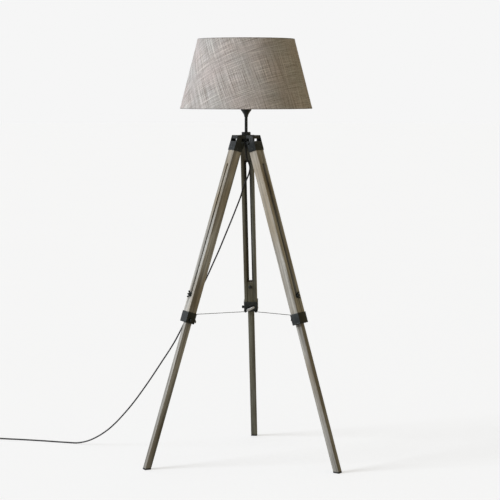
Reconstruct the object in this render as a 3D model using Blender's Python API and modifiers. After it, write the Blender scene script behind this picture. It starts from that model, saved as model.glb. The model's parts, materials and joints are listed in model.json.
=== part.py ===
"""Tripod floor lamp: a tapered fabric shade on a stem, over three wooden legs that fold and telescope.

Metres, +Z up, floor at z = 0. The rear leg points along +Y and the front legs 60 degrees either side of -Y.
"""

import math

import bmesh
import bpy
from mathutils import Matrix, Vector

# Clearances
GAP = 0.0003  # between pieces that touch
RUNNING = 0.0004  # around pieces that slide
WELD = 0.000001

# Legs. In a leg's own frame the pivot is the origin, X points outwards, square to the leg, and Z runs up along it.
LEG_TILT = math.radians(17.3)
LEG_AZIMUTHS = {"rear": 90, "left": 210, "right": 330}
PIVOT_RADIUS = 0.026  # from the lamp's axis
PIVOT_HEIGHT = 1.169
LEG_OFFSET = 0.0095  # the upper leg's middle plane, outside the pivot

UPPER_WIDTH = 0.047
UPPER_DEPTH = 0.031
UPPER_WALL = 0.007  # behind the channel
UPPER_TOP = -0.010
CHANNEL_TOP = -0.068
SLOT_WIDTH = 0.011
SLOT_TOP = -0.083
SLOT_END = -0.583
WOOD_ROUND = 0.0015

LOWER_WIDTH = 0.023
LOWER_DEPTH = 0.0222
LOWER_TOP = -0.558
PAD_THICKNESS = 0.005

# Fasteners on the legs
BOLT_RADIUS = 0.003
BOLT_HEAD_RADIUS = 0.007
BOLT_HEAD_HEIGHT = 0.003
WASHER_RADIUS = 0.009
WASHER_THICKNESS = 0.0015
WING_HUB_RADIUS = 0.0056
WING_HUB_LENGTH = 0.006
WING_SPAN = 0.026
WING_RISE = 0.011
WING_THICKNESS = 0.0024
KEY_LENGTH = 0.034
KEY_WIDTH = 0.009
KEY_THICKNESS = 0.002
KEY_STANDOFF = 0.0085
KEY_ANGLE = math.radians(29)
SIDE_SCREW_RADIUS = 0.0055
SIDE_SCREW_HEAD = 0.009
SIDE_SCREW_DEPTH = 0.008

COLLAR_TOP = -0.639
COLLAR_LENGTH = 0.040
COLLAR_WALL = 0.002
COLLAR_FLOOR = 0.003
EYE_REACH = 0.007
EYE_WIDTH = 0.008
EYE_THICKNESS = 0.003
EYE_HOLE_RADIUS = 0.0018
EYE_SIDE = 0.019
EYE_LEVELS = {"rear": -0.6775, "left": -0.646, "right": -0.646}
EYE_SIDES = {"rear": (-1, 1), "left": (-1,), "right": (1,)}
CHAIN_RADIUS = 0.0011
CHAIN_STAND_OFF = 0.0045

# Leg caps
CAP_SHEET = 0.0018
CAP_END = -0.034
CAP_ROUND = 0.003
CAP_EAR_RADIUS = 0.007
WINDOW_RADIUS = 0.0295
WINDOW_FLOOR = 0.007  # above the pivot
PIVOT_HEAD_RADIUS = 0.005
PIVOT_HEAD_HEIGHT = 0.003
NUT_RADIUS = 0.0058
NUT_HEIGHT = 0.004

# Hub
HUB_RISE = 0.028  # of its top above the pivots
BOSS_RADIUS = 0.0175
BOSS_HEIGHT = 0.021
ARM_THICKNESS = 0.012
LUG_HALF_WIDTH = 0.007
LUG_RADIUS = 0.0065
SLEEVE_RADIUS = 0.0165
SLEEVE_HEIGHT = 0.011
RELIEF_TOP_RADIUS = 0.0075
RELIEF_END_RADIUS = 0.0040
RELIEF_FLANGE = 0.003
RELIEF_LENGTH = 0.030

# Stem and lamp holder
STEM_RADIUS = 0.0055
STEM_BORE_RADIUS = 0.0035
STEM_HEIGHT = 0.066  # visible, from the hub's top to the funnel
STEM_IN_FUNNEL = 0.012
STEM_IN_HUB = 0.019
FUNNEL_HEIGHT = 0.026
FUNNEL_NECK_WALL = 0.0014
HOLDER_RADIUS = 0.0195
HOLDER_BORE_RADIUS = 0.0140
HOLDER_HEIGHT = 0.0467
HOLDER_BASE = 0.003
FLANGE_LEVEL = 0.0167
FLANGE_THICKNESS = 0.003
FLANGE_RADIUS = 0.0235
FITTER_RADIUS = 0.0280
FITTER_THICKNESS = 0.002
RING_NUT_RADIUS = 0.0265
RING_NUT_HEIGHT = 0.008
BULB_CAP_RADIUS = 0.0132
BULB_NECK_RADIUS = 0.0145
BULB_RADIUS = 0.030
BULB_LENGTH = 0.086
BULB_NECK_LENGTH = 0.015

# Shade
SHADE_BOTTOM_RADIUS = 0.240
SHADE_TOP_RADIUS = 0.175
SHADE_HEIGHT = 0.251
SHADE_LIFT = 0.004  # of its bottom edge above the funnel
FABRIC_THICKNESS = 0.0010
LINER_THICKNESS = 0.0006
WIRE_RADIUS = 0.002
WIRE_INSET = 0.0035  # of each wire's middle from the shade's edge
FRAME_ARM_RADIUS = 0.0016
SHADE_STEPS = 48

# Cord: its route's own points, from the strain relief to the switch, about the lamp's axis
CORD_RADIUS = 0.00275
CORD_POINTS = 72
CORD_ROUTE = (
    (0.000, 0.000, 1.132),
    (0.002, 0.001, 1.116),
    (0.008, 0.003, 1.099),
    (0.013, 0.005, 1.083),
    (0.012, 0.006, 1.066),
    (0.007, 0.006, 1.049),
    (-0.001, 0.006, 1.030),
    (-0.012, 0.008, 1.002),
    (-0.022, 0.013, 0.970),
    (-0.038, 0.022, 0.930),
    (-0.056, 0.032, 0.886),
    (-0.080, 0.046, 0.830),
    (-0.103, 0.059, 0.776),
    (-0.126, 0.071, 0.726),
    (-0.152, 0.085, 0.670),
    (-0.175, 0.095, 0.624),
    (-0.225, 0.110, 0.524),
    (-0.279, 0.118, 0.418),
    (-0.335, 0.121, 0.330),
    (-0.393, 0.124, 0.243),
    (-0.457, 0.132, 0.157),
    (-0.531, 0.148, 0.077),
    (-0.600, 0.169, 0.028),
    (-0.660, 0.187, 0.006),
    (-0.722, 0.202, 0.003),
    (-0.812, 0.221, 0.003),
    (-0.904, 0.237, 0.003),
    (-0.965, 0.241, 0.004),
    (-1.003, 0.241, 0.006),
)
CORD_LEVEL = 0.006  # of the cord in the switch and in the plug
SWITCH_LENGTH = 0.064
SWITCH_WIDTH = 0.027
SWITCH_HEIGHT = 0.017
SWITCH_RELIEF = 0.010
SWITCH_ROUND = 0.004
ROCKER_LENGTH = 0.020
ROCKER_WIDTH = 0.011
ROCKER_DEPTH = 0.007
ROCKER_TILT = math.radians(7)
COIL_RADIUS = 0.030
COIL_HALF_WIDTH = 0.0055
COIL_HEIGHT = 0.011
COIL_CLEAR = 0.0248  # along the cord, from the coil's middle to a piece that meets it
TIE_THICKNESS = 0.001
TIE_WIDTH = 0.012
PLUG_LENGTH = 0.036
PLUG_WIDTH = 0.026
PLUG_HEIGHT = 0.014
PLUG_TAIL_LENGTH = 0.012
PIN_RADIUS = 0.002
PIN_LENGTH = 0.019
PIN_SPACING = 0.0186

# Worked out from the sizes above
HUB_TOP = PIVOT_HEIGHT + HUB_RISE
HUB_BOTTOM = HUB_TOP - BOSS_HEIGHT
RELIEF_TOP = HUB_BOTTOM - GAP
RELIEF_END = RELIEF_TOP - RELIEF_LENGTH
FUNNEL_BOTTOM = HUB_TOP + STEM_HEIGHT
FUNNEL_TOP = FUNNEL_BOTTOM + FUNNEL_HEIGHT
HOLDER_BOTTOM = FUNNEL_TOP + GAP
FLANGE_TOP = HOLDER_BOTTOM + FLANGE_LEVEL + FLANGE_THICKNESS
FITTER_BOTTOM = FLANGE_TOP + GAP
RING_NUT_BOTTOM = FITTER_BOTTOM + FITTER_THICKNESS + GAP
HOLDER_TOP = HOLDER_BOTTOM + HOLDER_HEIGHT
SHADE_BOTTOM = FUNNEL_TOP + SHADE_LIFT
SHADE_TOP = SHADE_BOTTOM + SHADE_HEIGHT
SHADE_SLOPE = math.atan2(SHADE_BOTTOM_RADIUS - SHADE_TOP_RADIUS, SHADE_HEIGHT)
LOWER_MIDDLE = LEG_OFFSET + UPPER_DEPTH / 2 - UPPER_WALL - RUNNING - LOWER_DEPTH / 2
LOWER_INNER = LOWER_MIDDLE - LOWER_DEPTH / 2
UPPER_OUTER = LEG_OFFSET + UPPER_DEPTH / 2
UPPER_INNER = LEG_OFFSET - UPPER_DEPTH / 2
UPPER_END = COLLAR_TOP - COLLAR_LENGTH + COLLAR_FLOOR + GAP
BOLT_LEVEL = SLOT_END + SLOT_WIDTH / 2
KEY_LEVEL = COLLAR_TOP - 0.6 * COLLAR_LENGTH
SIDE_SCREW_LEVEL = COLLAR_TOP - 0.7 * COLLAR_LENGTH
COLLAR_INNER = UPPER_INNER - GAP - COLLAR_WALL
COLLAR_SIDE = UPPER_WIDTH / 2 + GAP + COLLAR_WALL
FOOT_REACH = (
    PIVOT_RADIUS + PIVOT_HEIGHT * math.tan(LEG_TILT) + (LOWER_MIDDLE + LOWER_DEPTH / 2) / math.cos(LEG_TILT)
)
AXIS_Y = (SHADE_BOTTOM_RADIUS - FOOT_REACH) / 2  # puts the origin in the middle of the lamp's own box


def clear_scene():
    for obj in list(bpy.data.objects):
        bpy.data.objects.remove(obj)


def new_collection(name):
    collection = bpy.data.collections.new(name)
    bpy.context.scene.collection.children.link(collection)
    return collection


def new_material(name, color, roughness, metallic=0.0, alpha=1.0):
    material = bpy.data.materials.new(name)
    material.use_nodes = True
    shader = material.node_tree.nodes["Principled BSDF"]
    shader.inputs["Base Color"].default_value = (*color, 1.0)
    shader.inputs["Roughness"].default_value = roughness
    shader.inputs["Metallic"].default_value = metallic
    shader.inputs["Alpha"].default_value = alpha
    material.diffuse_color = (*color, alpha)
    return material


# Shapes. Each function returns a mesh, and the helper objects that made it are removed again.


def helper(data):
    obj = bpy.data.objects.new("helper", data)
    bpy.context.scene.collection.objects.link(obj)
    return obj


def evaluated_mesh(obj, matrix=None):
    """The mesh of a helper object with its modifiers, welded and facing out."""
    bpy.context.view_layer.update()
    graph = bpy.context.evaluated_depsgraph_get()
    mesh = bpy.data.meshes.new_from_object(obj.evaluated_get(graph))
    bpy.data.objects.remove(obj)
    shape = bmesh.new()
    shape.from_mesh(mesh)
    bmesh.ops.remove_doubles(shape, verts=shape.verts, dist=WELD)
    bmesh.ops.transform(shape, matrix=matrix or Matrix(), verts=shape.verts)
    bmesh.ops.recalc_face_normals(shape, faces=shape.faces)
    shape.to_mesh(mesh)
    shape.free()
    return mesh


def combined(mesh, other, operation):
    body = helper(mesh)
    tool = helper(other)
    boolean = body.modifiers.new("boolean", "BOOLEAN")
    boolean.operation = operation
    boolean.solver = "EXACT"
    boolean.object = tool
    result = evaluated_mesh(body)
    bpy.data.objects.remove(tool)
    return result


def joined(mesh, *others):
    for other in others:
        mesh = combined(mesh, other, "UNION")
    return mesh


def cut(mesh, *others):
    for other in others:
        mesh = combined(mesh, other, "DIFFERENCE")
    return mesh


def box(x, y, z, rounding=0.0):
    """A box between the two values of each of x, y and z."""
    middle = Vector(((x[0] + x[1]) / 2, (y[0] + y[1]) / 2, (z[0] + z[1]) / 2))
    sides = Matrix.Diagonal((x[1] - x[0], y[1] - y[0], z[1] - z[0], 1))
    shape = bmesh.new()
    bmesh.ops.create_cube(shape, size=1, matrix=Matrix.Translation(middle) @ sides)
    if rounding:
        bmesh.ops.bevel(shape, geom=shape.edges, offset=rounding, segments=2, affect="EDGES", profile=0.5)
    mesh = bpy.data.meshes.new("box")
    shape.to_mesh(mesh)
    shape.free()
    return mesh


def turned(profile, closed=False, steps=24, matrix=None):
    """A profile of (radius, height) points turned about Z. It runs down its outer side."""
    mesh = bpy.data.meshes.new("profile")
    points = [(radius, 0, height) for radius, height in profile]
    edges = [(i, i + 1) for i in range(len(profile) - 1)]
    if closed:
        edges.append((len(profile) - 1, 0))
    mesh.from_pydata(points, edges, [])
    obj = helper(mesh)
    screw = obj.modifiers.new("turn", "SCREW")
    screw.steps = steps
    screw.render_steps = steps
    screw.use_merge_vertices = True
    screw.merge_threshold = WELD
    return evaluated_mesh(obj, matrix)


def rod(radius, start, end, steps=16, matrix=None):
    """A solid cylinder about Z."""
    return turned([(0, end), (radius, end), (radius, start), (0, start)], steps=steps, matrix=matrix)


def ring(outer, inner, start, end, steps=24, matrix=None):
    """A tube about Z."""
    profile = [(outer, end), (outer, start), (inner, start), (inner, end)]
    return turned(profile, closed=True, steps=steps, matrix=matrix)


def circle(radius, middle=(0, 0), steps=16):
    turns = [2 * math.pi * i / steps for i in range(steps)]
    return [(middle[0] + radius * math.cos(a), middle[1] + radius * math.sin(a)) for a in turns]


def rounded(outline, radii, steps=3):
    """An outline whose corners are replaced by arcs of the given radii, or kept where the radius is 0."""
    points = []
    for i, (corner, radius) in enumerate(zip(outline, radii)):
        here = Vector(corner)
        back = (Vector(outline[i - 1]) - here).normalized()
        on = (Vector(outline[(i + 1) % len(outline)]) - here).normalized()
        if not radius:
            points.append(tuple(here))
            continue
        half = back.angle(on) / 2
        middle = here + (back + on).normalized() * radius / math.sin(half)
        first = here + back * radius / math.tan(half) - middle
        sweep = first.angle_signed(here + on * radius / math.tan(half) - middle)
        for k in range(steps + 1):
            turn = Matrix.Rotation(-sweep * k / steps, 2)
            points.append(tuple(middle + turn @ first))
    return points


def plate(outline, thickness, holes=(), matrix=None):
    """A flat plate with its outline in XY, centred on z = 0."""
    curve = bpy.data.curves.new("outline", "CURVE")
    curve.dimensions = "2D"
    curve.fill_mode = "BOTH"
    curve.extrude = thickness / 2
    for loop in (outline, *holes):
        spline = curve.splines.new("POLY")
        spline.points.add(len(loop) - 1)
        for point, (u, v) in zip(spline.points, loop):
            point.co = (u, v, 0, 1)
        spline.use_cyclic_u = True
    return evaluated_mesh(helper(curve), matrix)


def tube_curve(points, radius):
    curve = bpy.data.curves.new("tube", "CURVE")
    curve.dimensions = "3D"
    curve.bevel_depth = radius
    curve.bevel_resolution = 1
    curve.use_fill_caps = True
    spline = curve.splines.new("POLY")
    spline.points.add(len(points) - 1)
    for point, place in zip(spline.points, points):
        point.co = (*place, 1)
    return curve


def smooth_line(route, count):
    """Evenly spaced points along a smooth curve through the route's points."""
    knots = [Vector(p) for p in route]
    knots = [2 * knots[0] - knots[1], *knots, 2 * knots[-1] - knots[-2]]
    fine = []
    for a, b, c, d in zip(knots, knots[1:], knots[2:], knots[3:]):
        for k in range(40):
            t = k / 40
            bend = (2 * a - 5 * b + 4 * c - d) * t**2 + (3 * b - a - 3 * c + d) * t**3
            fine.append((2 * b + (c - a) * t + bend) / 2)
    fine.append(knots[-2])
    along = [0.0]
    for a, b in zip(fine, fine[1:]):
        along.append(along[-1] + (b - a).length)
    line = []
    k = 0
    for i in range(count):
        target = along[-1] * i / (count - 1)
        while k < len(fine) - 2 and along[k + 1] < target:
            k += 1
        share = (target - along[k]) / (along[k + 1] - along[k])
        line.append(fine[k].lerp(fine[k + 1], share))
    return line


# Frames: where a shape that is drawn about Z, or in XY, goes on a leg.

ALONG_X = Matrix.Rotation(math.pi / 2, 4, "Y")  # Z becomes X
ALONG_Y = Matrix.Rotation(-math.pi / 2, 4, "X")  # Z becomes Y
SIDE_ON = Matrix(((1, 0, 0, 0), (0, 0, 1, 0), (0, 1, 0, 0), (0, 0, 0, 1)))  # XY becomes XZ
FACE_ON = Matrix(((0, 0, 1, 0), (1, 0, 0, 0), (0, 1, 0, 0), (0, 0, 0, 1)))  # XY becomes YZ


def on_leg(radius, height):
    """The leg frame's x and z of a point in the leg's upright plane."""
    out = radius - PIVOT_RADIUS
    up = height - PIVOT_HEIGHT
    return (
        out * math.cos(LEG_TILT) + up * math.sin(LEG_TILT),
        up * math.cos(LEG_TILT) - out * math.sin(LEG_TILT),
    )


def level_on_leg(x, height):
    """The leg frame's z at which the line of that x reaches a height."""
    return (height - PIVOT_HEIGHT - x * math.sin(LEG_TILT)) / math.cos(LEG_TILT)


def leg_matrix(azimuth):
    turn = Matrix.Rotation(math.radians(azimuth), 4, "Z")
    lean = Matrix.Rotation(-LEG_TILT, 4, "Y")
    pivot = Matrix.Translation((PIVOT_RADIUS, 0, PIVOT_HEIGHT))
    return Matrix.Translation((0, AXIS_Y, 0)) @ turn @ pivot @ lean


# The legs' pieces, in the leg frame


def upper_leg_mesh():
    """A beam with a channel up its inner side and a round-ended slot through the wall behind it."""
    half = UPPER_WIDTH / 2
    beam = box((UPPER_INNER, UPPER_OUTER), (-half, half), (UPPER_END, UPPER_TOP), WOOD_ROUND)
    channel_half = LOWER_WIDTH / 2 + RUNNING
    channel_floor = UPPER_OUTER - UPPER_WALL
    channel = box((UPPER_INNER - 0.01, channel_floor), (-channel_half, channel_half), (UPPER_END - 0.01, CHANNEL_TOP))
    end = SLOT_WIDTH / 2
    corners = [(-end, SLOT_END), (end, SLOT_END), (end, SLOT_TOP), (-end, SLOT_TOP)]
    outline = rounded(corners, [0.98 * end] * 4, steps=4)
    to_wall = Matrix.Translation((UPPER_OUTER - UPPER_WALL / 2, 0, 0)) @ FACE_ON
    slot = plate(outline, 3 * UPPER_WALL, matrix=to_wall)
    into_side = Matrix.Translation((LEG_OFFSET, half - SIDE_SCREW_DEPTH, SIDE_SCREW_LEVEL)) @ ALONG_Y
    screw_hole = rod(BOLT_RADIUS + GAP, 0, 0.02, matrix=into_side)
    return cut(beam, channel, slot, screw_hole)


def leg_block(low, high, rounding):
    """A length of the lower leg's section, between two heights above the floor or up to a level on the leg."""
    x = (LOWER_INNER, LOWER_INNER + LOWER_DEPTH)
    mesh = box(x, (-LOWER_WIDTH / 2, LOWER_WIDTH / 2), (-1, 0))
    shape = bmesh.new()
    shape.from_mesh(mesh)
    for vertex in shape.verts:
        vertex.co.z = low(vertex.co.x) if vertex.co.z < -0.5 else high(vertex.co.x)
    along = [e for e in shape.edges if abs(e.verts[0].co.y - e.verts[1].co.y) < WELD]
    along = [e for e in along if abs(e.verts[0].co.x - e.verts[1].co.x) < WELD]
    bmesh.ops.bevel(shape, geom=along, offset=rounding, segments=2, affect="EDGES", profile=0.5)
    shape.to_mesh(mesh)
    shape.free()
    return mesh


def lower_leg_mesh():
    block = leg_block(lambda x: level_on_leg(x, PAD_THICKNESS + GAP), lambda x: LOWER_TOP, WOOD_ROUND)
    through = Matrix.Translation((LOWER_MIDDLE, 0, BOLT_LEVEL)) @ ALONG_X
    hole = rod(BOLT_RADIUS + GAP, -LOWER_DEPTH, LOWER_DEPTH, matrix=through)
    return cut(block, hole)


def foot_pad_mesh():
    return leg_block(lambda x: level_on_leg(x, 0), lambda x: level_on_leg(x, PAD_THICKNESS), WOOD_ROUND)


def leg_cap_mesh():
    """A folded steel cap: an outer wall and two cheeks, which rise beside the hub's arm and carry the pivot."""
    wall_x = UPPER_OUTER + GAP
    outer_x = wall_x + CAP_SHEET
    side = UPPER_WIDTH / 2 + GAP + CAP_SHEET
    wall_top = level_on_leg(wall_x, PIVOT_HEIGHT + WINDOW_FLOOR)
    wall = box((wall_x, outer_x), (-side, side), (CAP_END, wall_top))
    corners = [
        (UPPER_INNER, CAP_END),
        (outer_x, CAP_END),
        (outer_x, level_on_leg(outer_x, HUB_TOP)),
        on_leg(WINDOW_RADIUS, HUB_TOP),
        on_leg(WINDOW_RADIUS, PIVOT_HEIGHT + WINDOW_FLOOR),
        (-CAP_EAR_RADIUS, CAP_EAR_RADIUS),
        (-CAP_EAR_RADIUS, -CAP_EAR_RADIUS),
    ]
    radii = [0, 0, CAP_ROUND, CAP_ROUND / 2, 0, 0.9 * CAP_EAR_RADIUS, 0]
    outline = rounded(corners, radii)
    hole = circle(BOLT_RADIUS + GAP)
    cheeks = []
    for sign in (-1, 1):
        place = Matrix.Translation((0, sign * (side - CAP_SHEET / 2), 0)) @ SIDE_ON
        cheeks.append(plate(outline, CAP_SHEET, holes=[hole], matrix=place))
    return joined(wall, *cheeks)


def pivot_bolt_mesh():
    """A domed head on one side, and a shaft that ends in the nut on the other."""
    side = UPPER_WIDTH / 2 + 2 * GAP + CAP_SHEET
    profile = [
        (0, side + PIVOT_HEAD_HEIGHT),
        (0.6 * PIVOT_HEAD_RADIUS, side + 0.9 * PIVOT_HEAD_HEIGHT),
        (PIVOT_HEAD_RADIUS, side + 0.4 * PIVOT_HEAD_HEIGHT),
        (PIVOT_HEAD_RADIUS, side),
        (BOLT_RADIUS, side),
        (BOLT_RADIUS, -side - NUT_HEIGHT),
        (0, -side - NUT_HEIGHT),
    ]
    return turned(profile, steps=16, matrix=ALONG_Y)


def pivot_nut_mesh():
    side = UPPER_WIDTH / 2 + 2 * GAP + CAP_SHEET
    place = Matrix.Translation((0, -side - NUT_HEIGHT / 2, 0)) @ SIDE_ON
    return plate(circle(NUT_RADIUS, steps=6), NUT_HEIGHT, [circle(BOLT_RADIUS + GAP)], place)


def collar_mesh(eye_level, eye_sides):
    """A sleeve round the upper leg's end, with a floor that the lower leg slides through, and eyes for the chains."""
    x = (COLLAR_INNER, UPPER_OUTER + GAP + COLLAR_WALL)
    bottom = COLLAR_TOP - COLLAR_LENGTH
    sleeve = box(x, (-COLLAR_SIDE, COLLAR_SIDE), (bottom, COLLAR_TOP), COLLAR_WALL / 2)
    pocket_side = COLLAR_SIDE - COLLAR_WALL
    pocket = box(
        (x[0] + COLLAR_WALL, x[1] - COLLAR_WALL),
        (-pocket_side, pocket_side),
        (bottom + COLLAR_FLOOR, COLLAR_TOP + 0.01),
    )
    leg_side = LOWER_WIDTH / 2 + RUNNING
    passage = box(
        (LOWER_INNER - RUNNING, LOWER_INNER + LOWER_DEPTH + RUNNING),
        (-leg_side, leg_side),
        (bottom - 0.01, COLLAR_TOP),
    )
    key_hole = rod(BOLT_RADIUS + GAP, -0.01, 0.01, matrix=Matrix.Translation((x[0], 0, KEY_LEVEL)) @ ALONG_X)
    to_side = Matrix.Translation((LEG_OFFSET, COLLAR_SIDE, SIDE_SCREW_LEVEL)) @ ALONG_Y
    screw_hole = rod(BOLT_RADIUS + GAP, -0.005, 0.005, matrix=to_side)
    mesh = cut(sleeve, pocket, passage, key_hole, screw_hole)
    root = COLLAR_WALL / 2
    for sign in eye_sides:
        half = EYE_WIDTH / 2
        corners = [(root, -half), (root, half), (-EYE_REACH, half), (-EYE_REACH, -half)]
        outline = rounded(corners, [0, 0, 0.9 * half, 0.9 * half])
        hole = circle(EYE_HOLE_RADIUS, (half - EYE_REACH, 0), steps=8)
        place = Matrix.Translation((COLLAR_INNER, sign * EYE_SIDE, eye_level))
        mesh = joined(mesh, plate(outline, EYE_THICKNESS, [hole], place))
    return mesh


def side_screw_mesh():
    head = COLLAR_SIDE + GAP
    profile = [
        (0, head + SIDE_SCREW_HEAD),
        (0.7 * SIDE_SCREW_RADIUS, head + SIDE_SCREW_HEAD),
        (SIDE_SCREW_RADIUS, head + 0.8 * SIDE_SCREW_HEAD),
        (SIDE_SCREW_RADIUS, head + 0.3 * SIDE_SCREW_HEAD),
        (0.8 * SIDE_SCREW_RADIUS, head),
        (BOLT_RADIUS, head),
        (BOLT_RADIUS, UPPER_WIDTH / 2 - SIDE_SCREW_DEPTH + GAP),
        (0, UPPER_WIDTH / 2 - SIDE_SCREW_DEPTH + GAP),
    ]
    return turned(profile, steps=16, matrix=ALONG_Y)


def key_screw_mesh():
    """A screw with a flat oval key across its end, drawn from its own level on the leg."""
    end = COLLAR_INNER - KEY_STANDOFF
    tip = LOWER_INNER - GAP
    shaft = rod(BOLT_RADIUS, end, tip, matrix=ALONG_X)
    shoulder = rod(1.6 * BOLT_RADIUS, end, COLLAR_INNER - GAP - 0.004, matrix=ALONG_X)
    half_length = KEY_LENGTH / 2
    half_width = KEY_WIDTH / 2
    corners = [
        (-half_length, -half_width),
        (half_length, -half_width),
        (half_length, half_width),
        (-half_length, half_width),
    ]
    outline = rounded(corners, [0.95 * half_width] * 4)
    turn = Matrix.Rotation(-KEY_ANGLE, 4, "Z")
    place = Matrix.Translation((end - KEY_THICKNESS / 2 + 0.0005, 0, 0)) @ FACE_ON @ turn
    return joined(shaft, shoulder, plate(outline, KEY_THICKNESS, matrix=place))


def slot_bolt_mesh():
    """Domed head against the lower leg's inner face, a shoulder in the slot, and a thread for the wing nut."""
    head = LOWER_INNER - GAP
    shoulder = SLOT_WIDTH / 2 - RUNNING
    end = UPPER_OUTER + 2 * GAP + WASHER_THICKNESS + WING_RISE
    profile = [
        (0, end),
        (BOLT_RADIUS - 0.0005, end),
        (BOLT_RADIUS, end - 0.0005),
        (BOLT_RADIUS, UPPER_OUTER - GAP),
        (shoulder, UPPER_OUTER - GAP),
        (shoulder, UPPER_OUTER - UPPER_WALL),
        (BOLT_RADIUS, UPPER_OUTER - UPPER_WALL),
        (BOLT_RADIUS, head),
        (BOLT_HEAD_RADIUS, head),
        (BOLT_HEAD_RADIUS, head - 0.4 * BOLT_HEAD_HEIGHT),
        (0.6 * BOLT_HEAD_RADIUS, head - 0.9 * BOLT_HEAD_HEIGHT),
        (0, head - BOLT_HEAD_HEIGHT),
    ]
    return turned(profile, steps=16, matrix=ALONG_X)


def washer_mesh():
    start = UPPER_OUTER + GAP
    return ring(WASHER_RADIUS, BOLT_RADIUS + GAP, start, start + WASHER_THICKNESS, 16, ALONG_X)


def wing_nut_mesh():
    """A turned hub with two wings that rise as they spread."""
    start = UPPER_OUTER + 2 * GAP + WASHER_THICKNESS
    bore = BOLT_RADIUS + GAP
    profile = [
        (0.75 * WING_HUB_RADIUS, start + WING_HUB_LENGTH),
        (WING_HUB_RADIUS, start),
        (bore, start),
        (bore, start + WING_HUB_LENGTH),
    ]
    mesh = turned(profile, closed=True, steps=16, matrix=ALONG_X)
    for sign in (-1, 1):
        corners = [
            (start + 0.001, sign * (bore + 0.0008)),
            (start + 0.001, sign * WING_HUB_RADIUS),
            (start + 0.45 * WING_RISE, sign * WING_SPAN / 2),
            (start + WING_RISE, sign * WING_SPAN / 2),
            (start + 0.9 * WING_RISE, sign * (WING_SPAN / 2 - 0.005)),
            (start + 0.9 * WING_HUB_LENGTH, sign * (bore + 0.0008)),
        ]
        outline = rounded(corners, [0, 0, 0.003, 0.002, 0.002, 0])
        mesh = joined(mesh, plate(outline, WING_THICKNESS, matrix=SIDE_ON))
    return mesh


# The hub, the stem and the lamp holder, about the lamp's axis


def hub_mesh():
    """A boss with three arms, each with a lug under it for the leg's pivot."""
    bore = STEM_RADIUS + GAP
    mesh = ring(BOSS_RADIUS, bore, HUB_BOTTOM, HUB_TOP)
    under = HUB_TOP - ARM_THICKNESS
    wall_x = UPPER_OUTER + GAP - RUNNING
    ends = []
    for height in (under, HUB_TOP):
        rise = height - PIVOT_HEIGHT
        ends.append(PIVOT_RADIUS + (wall_x - rise * math.sin(LEG_TILT)) / math.cos(LEG_TILT))
    root = bore + 0.002
    arm = rounded([(root, under), (ends[0], under), (ends[1], HUB_TOP), (root, HUB_TOP)], [0, 0.001, CAP_ROUND, 0])
    lug = rounded(
        [
            (PIVOT_RADIUS - LUG_RADIUS, PIVOT_HEIGHT - LUG_RADIUS),
            (PIVOT_RADIUS + LUG_RADIUS, PIVOT_HEIGHT - LUG_RADIUS),
            (PIVOT_RADIUS + LUG_RADIUS, under + 0.004),
            (PIVOT_RADIUS - LUG_RADIUS, under + 0.004),
        ],
        [0.95 * LUG_RADIUS, 0.95 * LUG_RADIUS, 0, 0],
        steps=5,
    )
    hole = circle(BOLT_RADIUS + GAP, (PIVOT_RADIUS, PIVOT_HEIGHT))
    for azimuth in LEG_AZIMUTHS.values():
        turn = Matrix.Rotation(math.radians(azimuth), 4, "Z") @ SIDE_ON
        arm_plate = plate(arm, UPPER_WIDTH + 2 * GAP - 2 * RUNNING, matrix=turn)
        arm_plate = cut(arm_plate, rod(bore + 0.001, HUB_BOTTOM - 0.01, HUB_TOP + 0.01))
        mesh = joined(mesh, arm_plate, plate(lug, 2 * LUG_HALF_WIDTH, [hole], turn))
    return mesh


def sleeve_mesh():
    bottom = HUB_TOP + GAP
    bore = STEM_RADIUS + GAP
    profile = [
        (SLEEVE_RADIUS - 0.0015, bottom + SLEEVE_HEIGHT),
        (SLEEVE_RADIUS, bottom + SLEEVE_HEIGHT - 0.0015),
        (SLEEVE_RADIUS, bottom),
        (bore, bottom),
        (bore, bottom + SLEEVE_HEIGHT),
    ]
    return turned(profile, closed=True)


def strain_relief_mesh():
    bore = CORD_RADIUS + GAP
    profile = [
        (RELIEF_TOP_RADIUS, RELIEF_TOP),
        (RELIEF_TOP_RADIUS, RELIEF_TOP - RELIEF_FLANGE),
        (0.75 * RELIEF_TOP_RADIUS, RELIEF_TOP - RELIEF_FLANGE),
        (RELIEF_END_RADIUS, RELIEF_END),
        (bore, RELIEF_END),
        (bore, RELIEF_TOP),
    ]
    return turned(profile, closed=True, steps=16)


def funnel_mesh():
    """A turned cup that widens in a hollow curve from the stem to the holder."""
    neck = STEM_RADIUS + GAP + FUNNEL_NECK_WALL
    rim = FUNNEL_TOP - 0.0015
    profile = [(HOLDER_RADIUS, FUNNEL_TOP), (HOLDER_RADIUS, rim)]
    steps = 6
    for i in range(1, steps + 1):
        fall = i / steps
        radius = neck + (HOLDER_RADIUS - neck) * (1 - fall) ** 1.35
        profile.append((radius, rim - fall * (FUNNEL_HEIGHT - 0.0055)))
    profile += [
        (neck, FUNNEL_BOTTOM),
        (STEM_RADIUS + GAP, FUNNEL_BOTTOM),
        (STEM_RADIUS + GAP, FUNNEL_BOTTOM + STEM_IN_FUNNEL + GAP),
        (STEM_BORE_RADIUS, FUNNEL_BOTTOM + STEM_IN_FUNNEL + GAP),
        (STEM_BORE_RADIUS, FUNNEL_TOP),
    ]
    return turned(profile, closed=True)


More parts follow.
